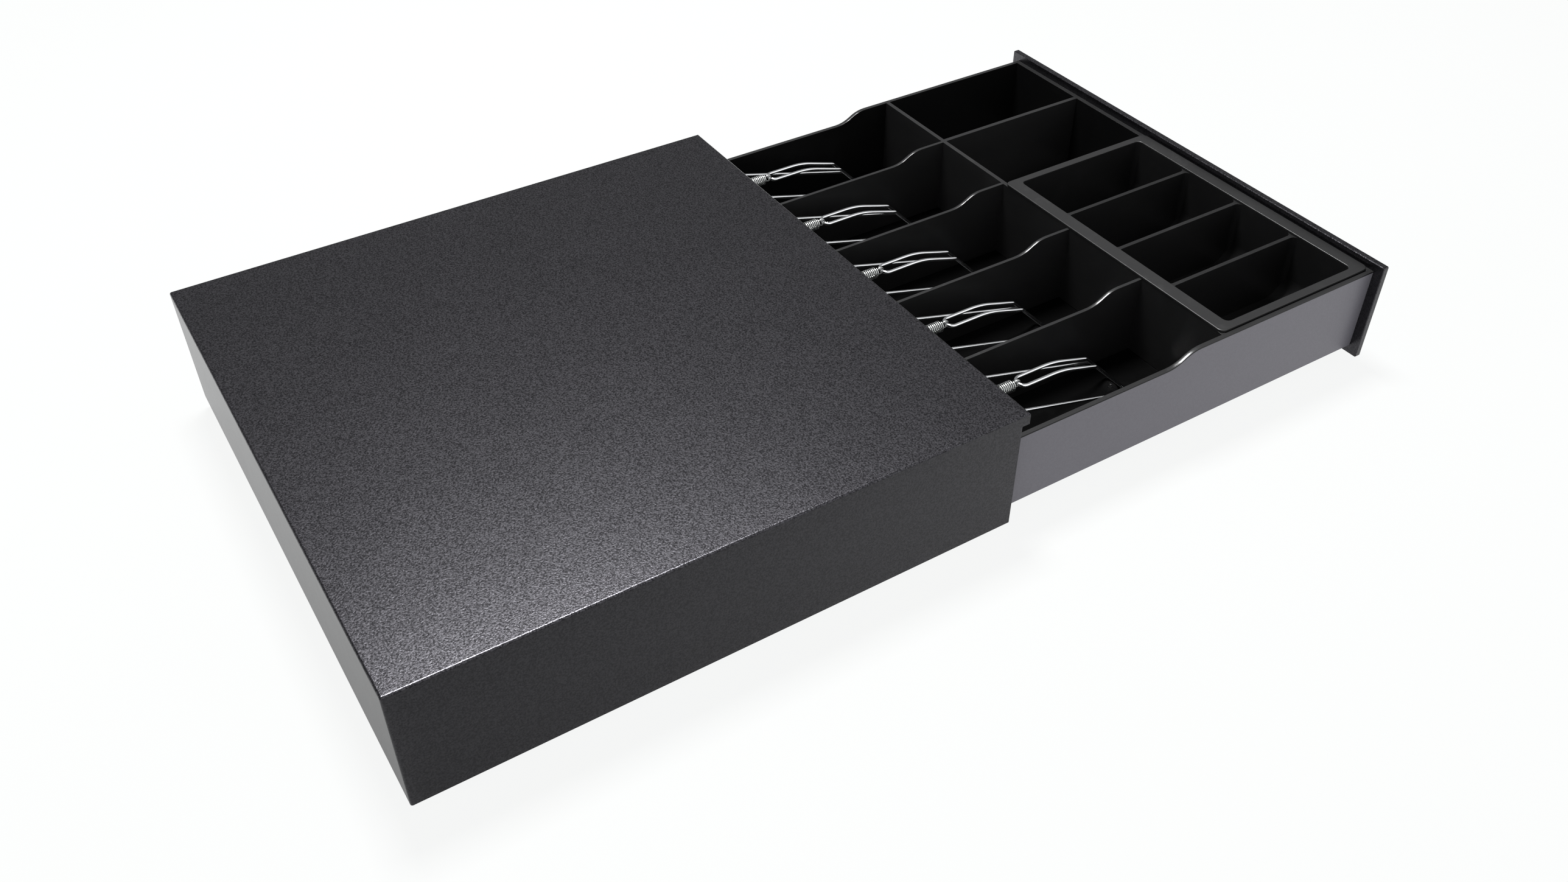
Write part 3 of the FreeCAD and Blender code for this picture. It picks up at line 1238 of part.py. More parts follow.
def cam_lock():
    """The key lock in the front panel. Its cam swings down behind the base plate's lip."""
    face = "panel_inner - panel_thick"
    height = "lock_height"

    def disc(name, low, high, radius):
        return cylinder(name, "y", ("0", low, height), radius, f"({high}) - ({low})")

    collar = disc("lock_collar_disc", f"{face} - collar_thick", face, "lock_collar")
    tube = disc("lock_tube", face, "lock_end", "lock_barrel")
    bore = disc("lock_bore", f"{face} - collar_thick - 1", "lock_end + 1", "lock_plug + running")
    groove_y = ("panel_inner + pan_sheet", "panel_inner + pan_sheet + lock_clip_sheet")
    groove_ring = disc("groove_outer", *groove_y, "lock_barrel + 1")
    groove_core = disc("groove_core", "panel_inner", "panel_inner + 3", "lock_barrel - 1")
    groove = cut("lock_groove", groove_ring, [groove_core])
    finish(cut("lock_barrel_blank", fuse("lock_solid", [collar, tube]), [bore, groove]), "lock_barrel")
    clip = disc("clip_disc", *groove_y, "lock_clip")
    beyond = ("panel_inner", "panel_inner + 4")
    throat = disc("clip_throat", *beyond, "lock_barrel - 1")
    gate_x = ("0 - (lock_barrel - 1)", "lock_barrel - 1")
    gate = box("clip_gate", gate_x, beyond, (f"{height} - 20", height))
    finish(cut("lock_clip_cut", clip, [throat, gate]), "lock_clip")

    square = ("0 - cam_square", "cam_square")
    square_z = (f"{height} - cam_square", f"{height} + cam_square")
    stem = disc("plug_stem", f"{face} - collar_thick", "cam_front", "lock_plug")
    tail = box("plug_tail", square, ("cam_front - 0.3", "cam_rear"), square_z)
    key_y = (f"{face} - collar_thick - 1", f"{face} + 6")
    keyway = box("keyway", ("0 - 3.6", "3.6"), key_y, (f"{height} - 0.6", f"{height} + 0.6"))
    tap = disc("plug_tap", "cam_rear - 5.3", "cam_rear + 0.7", "1.2")
    finish(cut("lock_plug_cut", fuse("plug_solid", [stem, tail]), [keyway, tap]), "lock_plug")

    body = new_body("lock_cam")
    shape = sketch(body, "shape", "XZ_Plane", "0 - cam_front")
    low, high = f"{height} - cam_half", f"{height} + cam_half"
    outline(
        shape,
        [
            ("0", low, "cam_half", 1),
            ("cam_half", height, "cam_half", 1),
            ("0", high),
            ("0 - cam_reach + 2", high, "2", 1),
            ("0 - cam_reach", f"{high} - 2"),
            ("0 - cam_reach", f"{low} + 2", "2", 1),
            ("0 - cam_reach + 2", low),
        ],
    )
    pad(body, shape, "cam_rear - cam_front", backwards=True)
    seat = sketch(body, "seat", "XZ_Plane", "0 - cam_front")
    rectangle(seat, *square, *square_z)
    pocket(body, seat, "cam_rear - cam_front")
    screws("cam_screw", "y", [("0", "cam_rear", height)], -1, "1.2", "5", "3.4", "1.4")


housing_cover()
base_plate()
rubber_feet()
cover_screws()
guide_rails()
stop_bumpers()
front_rollers()
ejectors()
latch_bracket()
latch_lever()
solenoid()
electrics()
drawer_pan()
front_panel()
panel_screws()
till_insert()
clip_rods()
for order, compartment in enumerate(NOTE_INDEXES, start=1):
    note_clip(order, f"{compartment} * note_pitch")
    clip_spring(order, f"{compartment} * note_pitch")
coin_tray()
rear_rollers()
strike_plate()
cam_lock()
doc.recompute()

for made in doc.Objects:
    if "Invalid" in made.State or "Error" in made.State:
        raise RuntimeError(f"{made.Name} failed: {made.State}")
os.makedirs("parts", exist_ok=True)
for node in NODES:
    if node.Shape.isNull() or not node.Shape.isValid() or not node.Shape.Solids:
        raise RuntimeError(f"{node.Label} has no valid solid")
for node in NODES:
    node.Shape.exportStep(os.path.join("parts", f"{node.Label}.step"))
print(len(NODES), "pieces written")
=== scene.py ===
"""Looks of the cash drawer: materials, springs, floor, light and camera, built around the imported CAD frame.

Lengths are in metres. +Z is up, the drawer opens towards -Y, and at rest it is open.
"""
import json
import math

import bpy
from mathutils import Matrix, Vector


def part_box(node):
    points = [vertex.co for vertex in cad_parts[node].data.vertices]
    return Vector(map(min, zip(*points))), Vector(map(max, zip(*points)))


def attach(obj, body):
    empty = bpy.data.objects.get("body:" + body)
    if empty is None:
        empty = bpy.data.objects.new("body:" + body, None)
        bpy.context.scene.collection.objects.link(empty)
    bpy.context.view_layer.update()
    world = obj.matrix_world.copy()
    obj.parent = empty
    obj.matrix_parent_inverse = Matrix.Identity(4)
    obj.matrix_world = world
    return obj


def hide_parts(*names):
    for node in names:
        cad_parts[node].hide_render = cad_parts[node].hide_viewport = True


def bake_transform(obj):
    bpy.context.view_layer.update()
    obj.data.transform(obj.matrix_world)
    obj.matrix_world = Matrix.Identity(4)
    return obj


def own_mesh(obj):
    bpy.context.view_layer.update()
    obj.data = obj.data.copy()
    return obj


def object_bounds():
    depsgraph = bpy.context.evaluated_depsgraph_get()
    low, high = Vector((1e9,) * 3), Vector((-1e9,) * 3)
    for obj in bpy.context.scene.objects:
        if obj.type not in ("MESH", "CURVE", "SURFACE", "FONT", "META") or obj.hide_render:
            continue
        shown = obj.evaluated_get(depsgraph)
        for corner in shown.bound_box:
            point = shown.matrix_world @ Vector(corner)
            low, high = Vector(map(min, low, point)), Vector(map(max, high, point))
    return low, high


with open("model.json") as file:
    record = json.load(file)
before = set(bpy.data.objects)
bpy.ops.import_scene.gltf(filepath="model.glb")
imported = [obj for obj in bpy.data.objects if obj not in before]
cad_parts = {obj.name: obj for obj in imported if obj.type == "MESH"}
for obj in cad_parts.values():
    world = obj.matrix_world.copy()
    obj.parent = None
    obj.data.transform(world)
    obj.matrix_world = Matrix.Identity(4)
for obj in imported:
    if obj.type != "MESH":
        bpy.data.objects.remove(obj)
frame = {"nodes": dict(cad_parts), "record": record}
cad_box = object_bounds()
NODES = frame["nodes"]
MM = 0.001


# ---------------------------------------------------------------- shader helpers

MIX_COLOURS, MIX_RESULT = (6, 7), 2  # sockets of a Mix node that blends colours
RAMP = ("From Min", "From Max", "To Min", "To Max")  # sockets of a Map Range node
LOOKING_UP = 0.3  # a normal with a larger z counts as looking up
FLAT_FACE, SHARP_EDGE = 0.97, 0.75  # cosine between the true normal and the bevelled one


class Shader:
    """A node material that is put together one node at a time."""

    SOCKETS = {
        "color": "Base Color",
        "metal": "Metallic",
        "rough": "Roughness",
        "shine": "Specular IOR Level",
        "tint": "Specular Tint",
    }

    def __init__(self, name):
        self.material = bpy.data.materials.new(name)
        self.material.use_nodes = True
        self.tree = self.material.node_tree
        self.tree.nodes.clear()
        self.output = self.add("ShaderNodeOutputMaterial")
        self.surface = self.add("ShaderNodeBsdfPrincipled")
        self.feed(self.output.inputs["Surface"], self.surface.outputs[0])
        self.place = self.add("ShaderNodeTexCoord").outputs["Object"]

    def add(self, kind, **settings):
        node = self.tree.nodes.new(kind)
        for key, value in settings.items():
            setattr(node, key, value)
        return node

    def feed(self, socket, value):
        """Links an output to the socket, or sets the socket's own value."""
        if isinstance(value, bpy.types.NodeSocket):
            self.tree.links.new(value, socket)
        else:
            socket.default_value = value

    def scaled_place(self, scale):
        mapping = self.add("ShaderNodeMapping")
        self.feed(mapping.inputs["Vector"], self.place)
        self.feed(mapping.inputs["Scale"], scale)
        return mapping.outputs[0]

    def noise(self, size, detail=3.0, rough=0.5, stretch=(1, 1, 1)):
        """Noise with features of about size metres, stretched along the axes."""
        texture = self.add("ShaderNodeTexNoise")
        self.feed(texture.inputs["Vector"], self.scaled_place([1 / (size * s) for s in stretch]))
        self.feed(texture.inputs["Scale"], 1.0)
        self.feed(texture.inputs["Detail"], detail)
        self.feed(texture.inputs["Roughness"], rough)
        return texture.outputs["Fac"]

    def spread(self, value, span, result):
        """value carried from the span low..high to the result's low..high, and held at its ends."""
        node = self.add("ShaderNodeMapRange")
        self.feed(node.inputs["Value"], value)
        for key, number in zip(RAMP, (*span, *result)):
            self.feed(node.inputs[key], number)
        return node.outputs[0]

    def math(self, operation, a, b=0.0):
        node = self.add("ShaderNodeMath", operation=operation)
        self.feed(node.inputs[0], a)
        self.feed(node.inputs[1], b)
        return node.outputs[0]

    def product(self, a, b):
        return self.math("MULTIPLY", a, b)

    def blend(self, factor, first, second):
        """Colour first where factor is 0 and second where it is 1."""
        node = self.add("ShaderNodeMix", data_type="RGBA")
        self.feed(node.inputs["Factor"], factor)
        for index, value in zip(MIX_COLOURS, (first, second)):
            value = (*value, 1) if isinstance(value, tuple) else value
            self.feed(node.inputs[index], value)
        return node.outputs[MIX_RESULT]

    def place_axes(self):
        """The x, y and z of the shaded point."""
        split = self.add("ShaderNodeSeparateXYZ")
        self.feed(split.inputs[0], self.place)
        return split.outputs

    def upright(self):
        """1 on faces that don't look up, 0 on those that do."""
        split = self.add("ShaderNodeSeparateXYZ")
        self.feed(split.inputs[0], self.add("ShaderNodeNewGeometry").outputs["Normal"])
        return self.math("LESS_THAN", split.outputs["Z"], LOOKING_UP)

    def edges(self, reach):
        """1 near a sharp edge, within reach, and 0 on flat faces."""
        bevel = self.add("ShaderNodeBevel", samples=4)
        self.feed(bevel.inputs["Radius"], reach)
        dot = self.add("ShaderNodeVectorMath", operation="DOT_PRODUCT")
        self.feed(dot.inputs[0], bevel.outputs[0])
        self.feed(dot.inputs[1], self.add("ShaderNodeNewGeometry").outputs["Normal"])
        return self.spread(dot.outputs["Value"], (FLAT_FACE, SHARP_EDGE), (0.0, 1.0))

    def bump(self, *layers):
        """Stacks bump layers, each (height, distance in metres, strength)."""
        normal = None
        for height, distance, strength in layers:
            node = self.add("ShaderNodeBump")
            self.feed(node.inputs["Height"], height)
            self.feed(node.inputs["Distance"], distance)
            self.feed(node.inputs["Strength"], strength)
            if normal is not None:
                self.feed(node.inputs["Normal"], normal)
            normal = node.outputs[0]
        self.feed(self.surface.inputs["Normal"], normal)

    def finish(self, **values):
        for key, value in values.items():
            value = (*value, 1) if isinstance(value, tuple) else value
            self.feed(self.surface.inputs[self.SOCKETS[key]], value)
        return self.material


def scaled(colour, factor):
    return tuple(c * factor for c in colour)


# ---------------------------------------------------------------- materials

COAT_TINT = (0.93, 0.91, 1.0)  # the coat's reflections lean to violet
DUST = (0.09, 0.088, 0.083)
SHADED_TONE, SHADED_SHINE = 0.12, 0.15  # shares of the plastic's colour and shine left in full painted shade
TILL_WALL, TILL_FRONT_WALL, TILL_FLOOR = 3.2 * MM, 4.3 * MM, 11.5 * MM  # just past each of them
NOTES_FRONT = -0.383  # y of the wall between the notes and the front compartments
TRAY_RIM = 1.2 * MM
OUTER_SHADE, TRAY_SHADE = 0.75, 0.35  # how far the till's outer walls are darkened, and the depth of the painted shade below the tray's rim


def painted(name, dark, light, rough, shine, grain=1.1 * MM, sparkle=0.6):
    """Powder coat on sheet steel: a coarse glittering grain, a slight orange peel and faintly rubbed edges.

    The grain is calmer on upright faces.
    """
    m = Shader(name)
    coarse = m.noise(grain, detail=2.5, rough=0.65)
    fine = m.noise(grain * 0.4, detail=1.0)
    cloud = m.noise(60 * MM, detail=4.0, rough=0.55)
    peel = m.noise(4 * MM, detail=2.0, rough=0.4)
    wear = m.product(m.edges(0.7 * MM), m.spread(m.noise(10 * MM), (0.3, 0.7), (0.05, 0.3)))
    tone = m.blend(m.spread(coarse, (0.4, 0.62), (0.0, 1.0)), dark, light)
    tone = m.blend(m.spread(cloud, (0.3, 0.7), (0.0, 0.2)), tone, light)
    tone = m.blend(wear, tone, tuple(min(1.0, c * 3 + 0.02) for c in light))
    relief = m.product(m.spread(m.upright(), (0.0, 1.0), (1.0, 0.4)), sparkle)
    m.bump((peel, 0.06 * MM, 0.5), (coarse, 0.2 * MM, relief), (fine, 0.05 * MM, relief))
    uneven = m.math("ADD", cloud, m.noise(8 * MM, detail=2.0))
    flakes = m.product(m.spread(coarse, (0.38, 0.64), (-1.0, 1.3)), m.product(relief, shine))
    return m.finish(
        color=tone,
        rough=m.spread(uneven, (0.7, 1.3), (rough - 0.006, rough + 0.008)),
        shine=m.math("ADD", flakes, shine),
        tint=COAT_TINT,
    )


def moulded(name, dark, light, rough, grain=0.6 * MM, shine=0.4, shaded=None):
    """Injection-moulded plastic: fine spark-eroded texture, faint flow marks and light scuffs.

    shaded takes the material and gives a mask, from 0 to 1, of the places that are painted blacker and duller,
    which is mostly painted shade.
    """
    m = Shader(name)
    fine = m.noise(grain, detail=2.0, rough=0.7)
    flow = m.noise(30 * MM, stretch=(1, 3, 1))
    tone = m.blend(m.spread(flow, (0.3, 0.7), (0.0, 1.0)), dark, light)
    # painted shade: where the mask is set, the colour goes blacker and the shine drops
    if shaded:
        mask = shaded(m)
        tone = m.blend(mask, tone, scaled(dark, SHADED_TONE))
        shine = m.spread(mask, (0.0, 1.0), (shine, shine * SHADED_SHINE))
    scuff = m.spread(m.noise(20 * MM, detail=5.0, rough=0.7), (0.55, 0.75), (0.0, 0.12))
    uneven = m.math("ADD", m.spread(fine, (0.3, 0.7), (rough - 0.04, rough + 0.04)), scuff)
    m.bump((fine, 0.04 * MM, 0.4))
    return m.finish(color=tone, rough=uneven, shine=shine)


def till_shade(m):
    """The notes' floors are painted blackest, as painted shade, and the till's outer walls are painted blacker
    than its partitions.
    """
    low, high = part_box("till_insert")
    x, y, z = m.place_axes()
    sides = m.math("GREATER_THAN", m.math("ABSOLUTE", x), high.x - TILL_WALL)
    front = m.math("LESS_THAN", y, low.y + TILL_FRONT_WALL)
    outer = m.product(m.math("MAXIMUM", sides, front), m.upright())
    # painted shade on the floors of the notes' compartments
    floors = m.product(m.math("LESS_THAN", z, TILL_FLOOR), m.math("GREATER_THAN", y, NOTES_FRONT))
    return m.math("MAXIMUM", m.product(outer, OUTER_SHADE), floors)


def tray_shade(m):
    """Painted shade: the tray is painted blacker and duller below its rim."""
    under_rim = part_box("coin_tray")[1].z - TRAY_RIM
    return m.product(m.math("LESS_THAN", m.place_axes()[2], under_rim), TRAY_SHADE)


def plated(name, base, rough, spangle=0.0, grain=4 * MM):
    """Bare or plated metal with fine drawn lines and slight tarnish. A spangle is the size of zinc crystals."""
    m = Shader(name)
    lines = m.noise(grain, rough=0.7, stretch=(1, 6, 1))
    stain = m.noise(20 * MM, detail=4.0, rough=0.6)
    dull = scaled(base, 0.72)
    tone = m.blend(m.spread(stain, (0.35, 0.75), (0.0, 0.7)), base, dull)
    if spangle:
        cells = m.add("ShaderNodeTexVoronoi", feature="F1")
        m.feed(cells.inputs["Vector"], m.scaled_place((1 / spangle,) * 3))
        m.feed(cells.inputs["Scale"], 1.0)
        tone = m.blend(m.spread(cells.outputs["Distance"], (0.0, 0.8), (0.0, 0.4)), tone, dull)
    m.bump((lines, 0.02 * MM, 0.25))
    return m.finish(color=tone, metal=1.0, rough=m.spread(lines, (0.3, 0.7), (rough - 0.04, rough + 0.06)))


def chromed(name, base, rough):
    """Bright chrome wire with faint handling marks."""
    m = Shader(name)
    marks = m.noise(1.6 * MM, detail=4.0, rough=0.7, stretch=(1, 4, 1))
    haze = m.noise(12 * MM, rough=0.6)
    tone = m.blend(m.spread(haze, (0.4, 0.8), (0.0, 0.5)), base, scaled(base, 0.8))
    m.bump((marks, 0.01 * MM, 0.08))
    return m.finish(color=tone, metal=1.0, rough=m.spread(marks, (0.3, 0.8), (rough, rough + 0.08)))


def soft_rubber(name, base):
    """Matt rubber with a little dust."""
    m = Shader(name)
    fine = m.noise(0.6 * MM, detail=2.0, rough=0.6)
    dust = m.noise(9 * MM, detail=4.0, rough=0.6)
    tone = m.blend(m.spread(dust, (0.5, 0.8), (0.0, 0.3)), base, DUST)
    m.bump((fine, 0.05 * MM, 0.5))
    return m.finish(color=tone, rough=m.spread(fine, (0.3, 0.7), (0.6, 0.8)), shine=0.3)


SLOTS = (  # material slot of the record, its kind, and the kind's values
    ("powder_coat", painted, dict(
        dark=(0.0010, 0.00095, 0.0012), light=(0.0018, 0.0017, 0.0021), rough=0.298, shine=0.5)),
    ("drawer_steel", painted, dict(
        dark=(0.099, 0.096, 0.109), light=(0.108, 0.105, 0.119), rough=0.38, shine=0.5,
        grain=1.2 * MM, sparkle=0.12)),
    ("till_plastic", moulded, dict(
        dark=(0.0072, 0.0072, 0.0074), light=(0.009, 0.009, 0.0092), rough=0.32, shaded=till_shade)),
    ("tray_plastic", moulded, dict(
        dark=(0.0065, 0.0065, 0.0067), light=(0.008, 0.008, 0.0082), rough=0.38, shaded=tray_shade)),
    ("clip_chrome", chromed, dict(base=(0.82, 0.83, 0.84), rough=0.04)),
    ("zinc_steel", plated, dict(base=(0.56, 0.57, 0.56), rough=0.3, spangle=6 * MM)),
    ("nylon", moulded, dict(dark=(0.68, 0.66, 0.6), light=(0.74, 0.73, 0.68), rough=0.42, grain=0.8 * MM)),
    ("rubber", soft_rubber, dict(base=(0.018, 0.018, 0.018))),
    ("lock_metal", plated, dict(base=(0.5, 0.5, 0.49), rough=0.22, grain=1.5 * MM)),
    ("plug_brass", plated, dict(base=(0.62, 0.47, 0.22), rough=0.24, grain=1.2 * MM)),
    ("coil_tape", moulded, dict(dark=(0.32, 0.2, 0.03), light=(0.4, 0.26, 0.05), rough=0.3, grain=0.8 * MM)),
    ("black_plastic", moulded, dict(dark=(0.008, 0.008, 0.0085), light=(0.014, 0.014, 0.014), rough=0.42)),
)
LOOKS = {slot: kind(slot, **values) for slot, kind, values in SLOTS}

for part in frame["record"]["subparts"]:
    materials = NODES[part["node"]].data.materials
    materials.clear()
    materials.append(LOOKS[part["material_slot"]])


# ---------------------------------------------------------------- edges of the CAD pieces

SOFT_EDGES = {  # node: width of the bevel on its edges
    "till_insert": 0.35 * MM,
    "drawer_pan": 0.2 * MM,
    "base_plate": 0.2 * MM,
    "latch_bracket": 0.2 * MM,
    "strike_plate": 0.2 * MM,
    "control_socket": 0.2 * MM,
}
for name, width in SOFT_EDGES.items():
    weld = NODES[name].modifiers.new("weld", "WELD")
    weld.merge_threshold = 0.01 * MM
    bevel = NODES[name].modifiers.new("soft_edges", "BEVEL")
    bevel.width = width
    bevel.segments = 2
    bevel.limit_method = "ANGLE"
    bevel.angle_limit = math.radians(40)
    bevel.harden_normals = True


# ---------------------------------------------------------------- wire


def tube(name, points, radius, look, sides=14):
    """A round wire through points, with flat ends, as a smooth mesh."""
    verts, faces = [], []
    side = (points[1] - points[0]).normalized().orthogonal().normalized()
    for i, point in enumerate(points):
        before, after = points[max(i - 1, 0)], points[min(i + 1, len(points) - 1)]
        heading = (after - before).normalized()
        side = (side - heading * side.dot(heading)).normalized()
        up = heading.cross(side)
        for k in range(sides):
            angle = 2 * math.pi * k / sides
            verts.append(point + (side * math.cos(angle) + up * math.sin(angle)) * radius)
    for i in range(len(points) - 1):
        for k in range(sides):
            a, b = i * sides + k, i * sides + (k + 1) % sides
            faces.append((a, b, b + sides, a + sides))
    faces.append(tuple(reversed(range(sides))))
    faces.append(tuple(range(len(verts) - sides, len(verts))))
    mesh = bpy.data.meshes.new(name)
    mesh.from_pydata(verts, [], faces)
    mesh.polygons.foreach_set("use_smooth", [len(face) == 4 for face in faces])
    mesh.materials.append(look)
    made = bpy.data.objects.new(name, mesh)
    bpy.context.scene.collection.objects.link(made)
    return made


def ring_path(centre, radius, first, last, steps=26):
    """Part of a circle in the YZ plane, from one angle to another in degrees."""
    spots = []
    for i in range(steps + 1):
        angle = math.radians(first + (last - first) * i / steps)
        spots.append(centre + Vector((0, math.cos(angle), math.sin(angle))) * radius)
    return spots


def helix_path(start, radius, length, turns, lead=0.0, steps=28):
    """A helix along +Y, with steps points a turn. It begins lead degrees round from the +X side."""
    spots = []
    total = int(turns * steps)
    for i in range(total + 1):
        angle = math.radians(lead) + 2 * math.pi * turns * i / total
        spots.append(start + Vector((radius * math.cos(angle), length * i / total, radius * math.sin(angle))))
    return spots


def wire_spring(name, points, radius):
    spring = tube(name, points, radius, LOOKS["zinc_steel"])
    return spring


# ---------------------------------------------------------------- springs of the note clips

CLIP_WIRE, CLIP_HOOK, CLIP_COIL = 0.5 * MM, 2.6 * MM, 3.6 * MM  # radii
CLIP_COIL_LENGTH, CLIP_COIL_TURNS, CLIP_COIL_LEAD = 24 * MM, 16, 95
FRONT_HOOK_ARC, REAR_HOOK_ARC = (35, 350), (150, -160)  # degrees
HOOK_NECK = 1.2 * MM  # from a hook to the coil or the shank
SHANK_GAP, SHANK_STEPS = 2.2 * MM, 12
# The wire's points between hook, coil and shank, counted from the hook's end and from the coil's end.
INTO_COIL = ((0, 0.15 * MM, 0.4 * MM), (0.3 * MM, 0.5 * MM, 0.6 * CLIP_COIL))
OUT_OF_COIL = ((-0.7 * CLIP_COIL, 0.5 * MM, 0.1 * CLIP_COIL), (-0.3 * MM, 1.2 * MM, 0))


def clip_spring_path(front, rear):
    """One wire: the hook on the clip, the coil, a straight shank and the hook on the rod.

    front and rear are the centres of the two hooks.
    """
    hook_end = front + Vector((0, CLIP_HOOK, 0))
    coil_start = front + Vector((0, CLIP_HOOK + HOOK_NECK, 0))
    coil_end = coil_start + Vector((0, CLIP_COIL_LENGTH, 0))
    shank_start = coil_end + Vector((0, SHANK_GAP, 0))
    shank_end = rear - Vector((0, CLIP_HOOK + HOOK_NECK, 0))
    path = ring_path(front, CLIP_HOOK, *FRONT_HOOK_ARC)
    path += [hook_end + Vector(step) for step in INTO_COIL]
    path += helix_path(coil_start, CLIP_COIL, CLIP_COIL_LENGTH, CLIP_COIL_TURNS, CLIP_COIL_LEAD)
    path += [coil_end + Vector(step) for step in OUT_OF_COIL]
    path += [shank_start.lerp(shank_end, i / SHANK_STEPS) for i in range(SHANK_STEPS + 1)]
    return path + ring_path(rear, CLIP_HOOK, *REAR_HOOK_ARC)


rod_low, rod_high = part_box("spring_anchor_rod")
for number in range(1, 6):
    low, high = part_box(f"clip_spring_{number}")
    x, z = (low.x + high.x) / 2, (rod_low.z + rod_high.z) / 2
    front = Vector((x, low.y + CLIP_HOOK + CLIP_WIRE, z))
    rear = Vector((x, high.y - CLIP_HOOK - CLIP_WIRE, z))
    spring = wire_spring(f"clip_spring_wire_{number}", clip_spring_path(front, rear), CLIP_WIRE)
    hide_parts(f"clip_spring_{number}")
    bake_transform(spring)


# ---------------------------------------------------------------- ejector springs and latch spring

EJECTOR_WIRE, EJECTOR_COIL = 0.7 * MM, 4.5 * MM  # radii
EJECTOR_TURNS, EJECTOR_SHUT = 11, 0.72  # turns, and the share of its length left when the drawer is shut
CLOSED_TURN_RISE, COIL_OFFSET = 0.1 * MM, 0.6 * MM  # the flat end turn, and where the open turns begin
LATCH_WIRE, LATCH_TURNS, LATCH_PRESSED = 0.4 * MM, 2.5, 0.4


def ejector_path(start, length):
    """A flat end turn round start and then an open coil along +Y."""
    flat = ring_path(Vector((0, 0, 0)), EJECTOR_COIL, 0, 350)
    path = [start + Vector((p.y, CLOSED_TURN_RISE * i / len(flat), p.z)) for i, p in enumerate(flat)]
    coil_start = start + Vector((0, COIL_OFFSET, 0))
    return path + helix_path(coil_start, EJECTOR_COIL, length - COIL_OFFSET, EJECTOR_TURNS)


low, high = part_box("ejector_springs")
inset = EJECTOR_COIL + EJECTOR_WIRE
for side, x in (("left", low.x + inset), ("right", high.x - inset)):
    start = Vector((x, low.y + EJECTOR_WIRE, (low.z + high.z) / 2))
    path = ejector_path(start, high.y - low.y - 2 * EJECTOR_WIRE)
    spring = wire_spring(f"ejector_spring_{side}", path, EJECTOR_WIRE)
    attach(spring, "housing")
    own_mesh(spring)
    if side == "left":
        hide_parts("ejector_springs")

low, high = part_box("latch_spring")
coil = (high.x - low.x) / 2 - LATCH_WIRE
standing = [
    Vector((p.x, low.y + coil + LATCH_WIRE + p.z, low.z + LATCH_WIRE + p.y))
    for p in helix_path(Vector((0, 0, 0)), coil, high.z - low.z - 2 * LATCH_WIRE, LATCH_TURNS)
]
spring = wire_spring("latch_return_spring", standing, LATCH_WIRE)
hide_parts("latch_spring")
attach(spring, "housing")
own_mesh(spring)


# ---------------------------------------------------------------- floor, light, camera

FLOOR_REACH = 12.0
FLOOR_TONES = (0.029, 0.030, 0.0295), (0.031, 0.032, 0.0315)
FLOOR_WHITE = (0.993, 1.0, 0.996, 1)
FLOOR_SEEN = 0.90  # glow of the floor for the camera
FRONT_GLOW = (0.2, -0.55), (0.46, 0.86)  # glow for other rays: a span of y and the values at its ends
RIGHT_GLOW = (-0.2, 0.3), (0.0, 0.55)  # the same over x, added
BACK_GLOW = (0.19, 0.21), (0.0, 0.12)  # the same over y, added behind the housing
SKY_SEEN = 0.985
SKY_TURN, SKY_GLOW = (0.15, -0.55), (0.27, 1.3)  # dim ahead of the camera and bright behind it, over x
SKY_WHITE = (0.985, 0.99, 1, 1)
KEY_PLACE, KEY_TARGET, KEY_SIZE, KEY_POWER = (0.46, -0.16, 2.1), (0.0, -0.1, 0.0), (0.5, 0.5), 135
CAMERA_PLACE = (-0.67759, 0.26903, 0.63223)
CAMERA_AZIMUTH, CAMERA_ELEVATION = math.radians(237.83), math.radians(40.89)
CAMERA_LENS, SENSOR_WIDTH, NEAREST_SEEN = 32.10, 36, 0.01  # lens and sensor in millimetres


def floor_look():
    """Pale floor that glows softly, so that shadows on it stay light. It can't be seen from below."""
    m = Shader("floor")
    tone = m.blend(m.spread(m.noise(0.5, detail=2.0), (0.3, 0.7), (0.0, 1.0)), *FLOOR_TONES)
    x, y = m.place_axes()[:2]
    bounce = m.math("ADD", m.spread(y, *FRONT_GLOW), m.spread(x, *RIGHT_GLOW))
    glow = m.add("ShaderNodeMix", data_type="FLOAT")
    m.feed(glow.inputs["Factor"], m.add("ShaderNodeLightPath").outputs["Is Camera Ray"])
    m.feed(glow.inputs["A"], m.math("ADD", bounce, m.spread(y, *BACK_GLOW)))
    m.feed(glow.inputs["B"], FLOOR_SEEN)
    m.feed(m.surface.inputs["Emission Color"], FLOOR_WHITE)
    m.feed(m.surface.inputs["Emission Strength"], glow.outputs[0])
    from_below = m.add("ShaderNodeMixShader")
    m.feed(from_below.inputs["Fac"], m.add("ShaderNodeNewGeometry").outputs["Backfacing"])
    m.feed(from_below.inputs[1], m.surface.outputs[0])
    m.feed(from_below.inputs[2], m.add("ShaderNodeBsdfTransparent").outputs[0])
    m.feed(m.output.inputs["Surface"], from_below.outputs[0])
    return m.finish(color=tone, rough=0.9, shine=0.0)


def pale_floor(level):
    """A large plain floor under the feet."""
    mesh = bpy.data.meshes.new("floor")
    signs = ((-1, -1), (1, -1), (1, 1), (-1, 1))
    mesh.from_pydata([(x * FLOOR_REACH, y * FLOOR_REACH, level) for x, y in signs], [], [(0, 1, 2, 3)])
    mesh.materials.append(floor_look())
    floor = bpy.data.objects.new("floor", mesh)
    bpy.context.scene.collection.objects.link(floor)


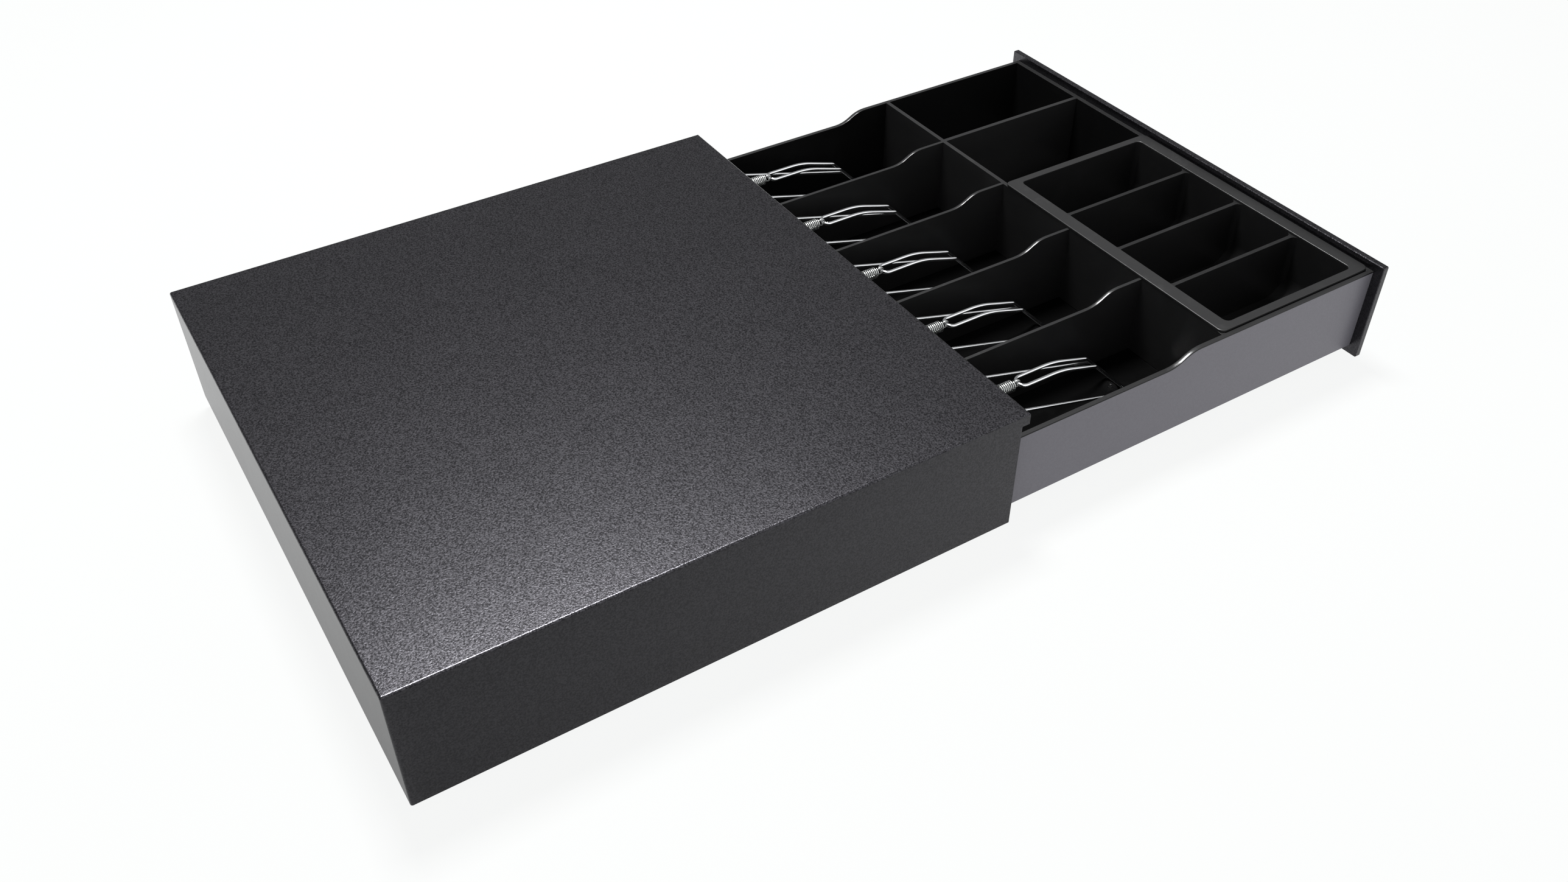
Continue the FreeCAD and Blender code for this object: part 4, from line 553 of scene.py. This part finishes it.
def surroundings():
    """White for the camera. For reflections, a soft sky, dim ahead of the camera and bright behind it."""
    world = bpy.data.worlds.new("studio")
    bpy.context.scene.world = world
    world.use_nodes = True
    nodes, link = world.node_tree.nodes, world.node_tree.links.new
    nodes.clear()
    seen, glow = (nodes.new("ShaderNodeBackground") for _ in range(2))
    split = nodes.new("ShaderNodeSeparateXYZ")
    ramp = nodes.new("ShaderNodeMapRange")
    mix = nodes.new("ShaderNodeMixShader")
    ramp.interpolation_type = "SMOOTHSTEP"
    for key, number in zip(RAMP, (*SKY_TURN, *SKY_GLOW)):
        ramp.inputs[key].default_value = number
    seen.inputs["Color"].default_value = (1, 1, 1, 1)
    seen.inputs["Strength"].default_value = SKY_SEEN
    glow.inputs["Color"].default_value = SKY_WHITE
    link(nodes.new("ShaderNodeTexCoord").outputs["Generated"], split.inputs[0])
    link(split.outputs["X"], ramp.inputs["Value"])
    link(ramp.outputs[0], glow.inputs["Strength"])
    link(nodes.new("ShaderNodeLightPath").outputs["Is Camera Ray"], mix.inputs["Fac"])
    link(glow.outputs[0], mix.inputs[1])
    link(seen.outputs[0], mix.inputs[2])
    link(mix.outputs[0], nodes.new("ShaderNodeOutputWorld").inputs["Surface"])


def aimed(name, data, place, towards):
    """An object that looks along the direction towards."""
    made = bpy.data.objects.new(name, data)
    made.location = place
    made.rotation_mode = "QUATERNION"
    made.rotation_quaternion = towards.to_track_quat("-Z", "Y")
    bpy.context.scene.collection.objects.link(made)
    return made


def key_light():
    data = bpy.data.lights.new("key", "AREA")
    data.shape = "RECTANGLE"
    data.size, data.size_y = KEY_SIZE
    data.energy = KEY_POWER
    aimed("key", data, KEY_PLACE, Vector(KEY_TARGET) - Vector(KEY_PLACE))


def photo_camera():
    """The camera at the photograph's place and angle."""
    data = bpy.data.cameras.new("camera")
    data.sensor_width = SENSOR_WIDTH
    data.lens = CAMERA_LENS
    data.clip_start = NEAREST_SEEN
    level = math.cos(CAMERA_ELEVATION)
    backward = Vector(
        (math.sin(CAMERA_AZIMUTH) * level, -math.cos(CAMERA_AZIMUTH) * level, math.sin(CAMERA_ELEVATION))
    )
    return aimed("camera", data, CAMERA_PLACE, -backward)


pale_floor(cad_box[0].z)
surroundings()
key_light()
bpy.context.scene.camera = photo_camera()
bpy.context.scene.view_settings.view_transform = "Standard"
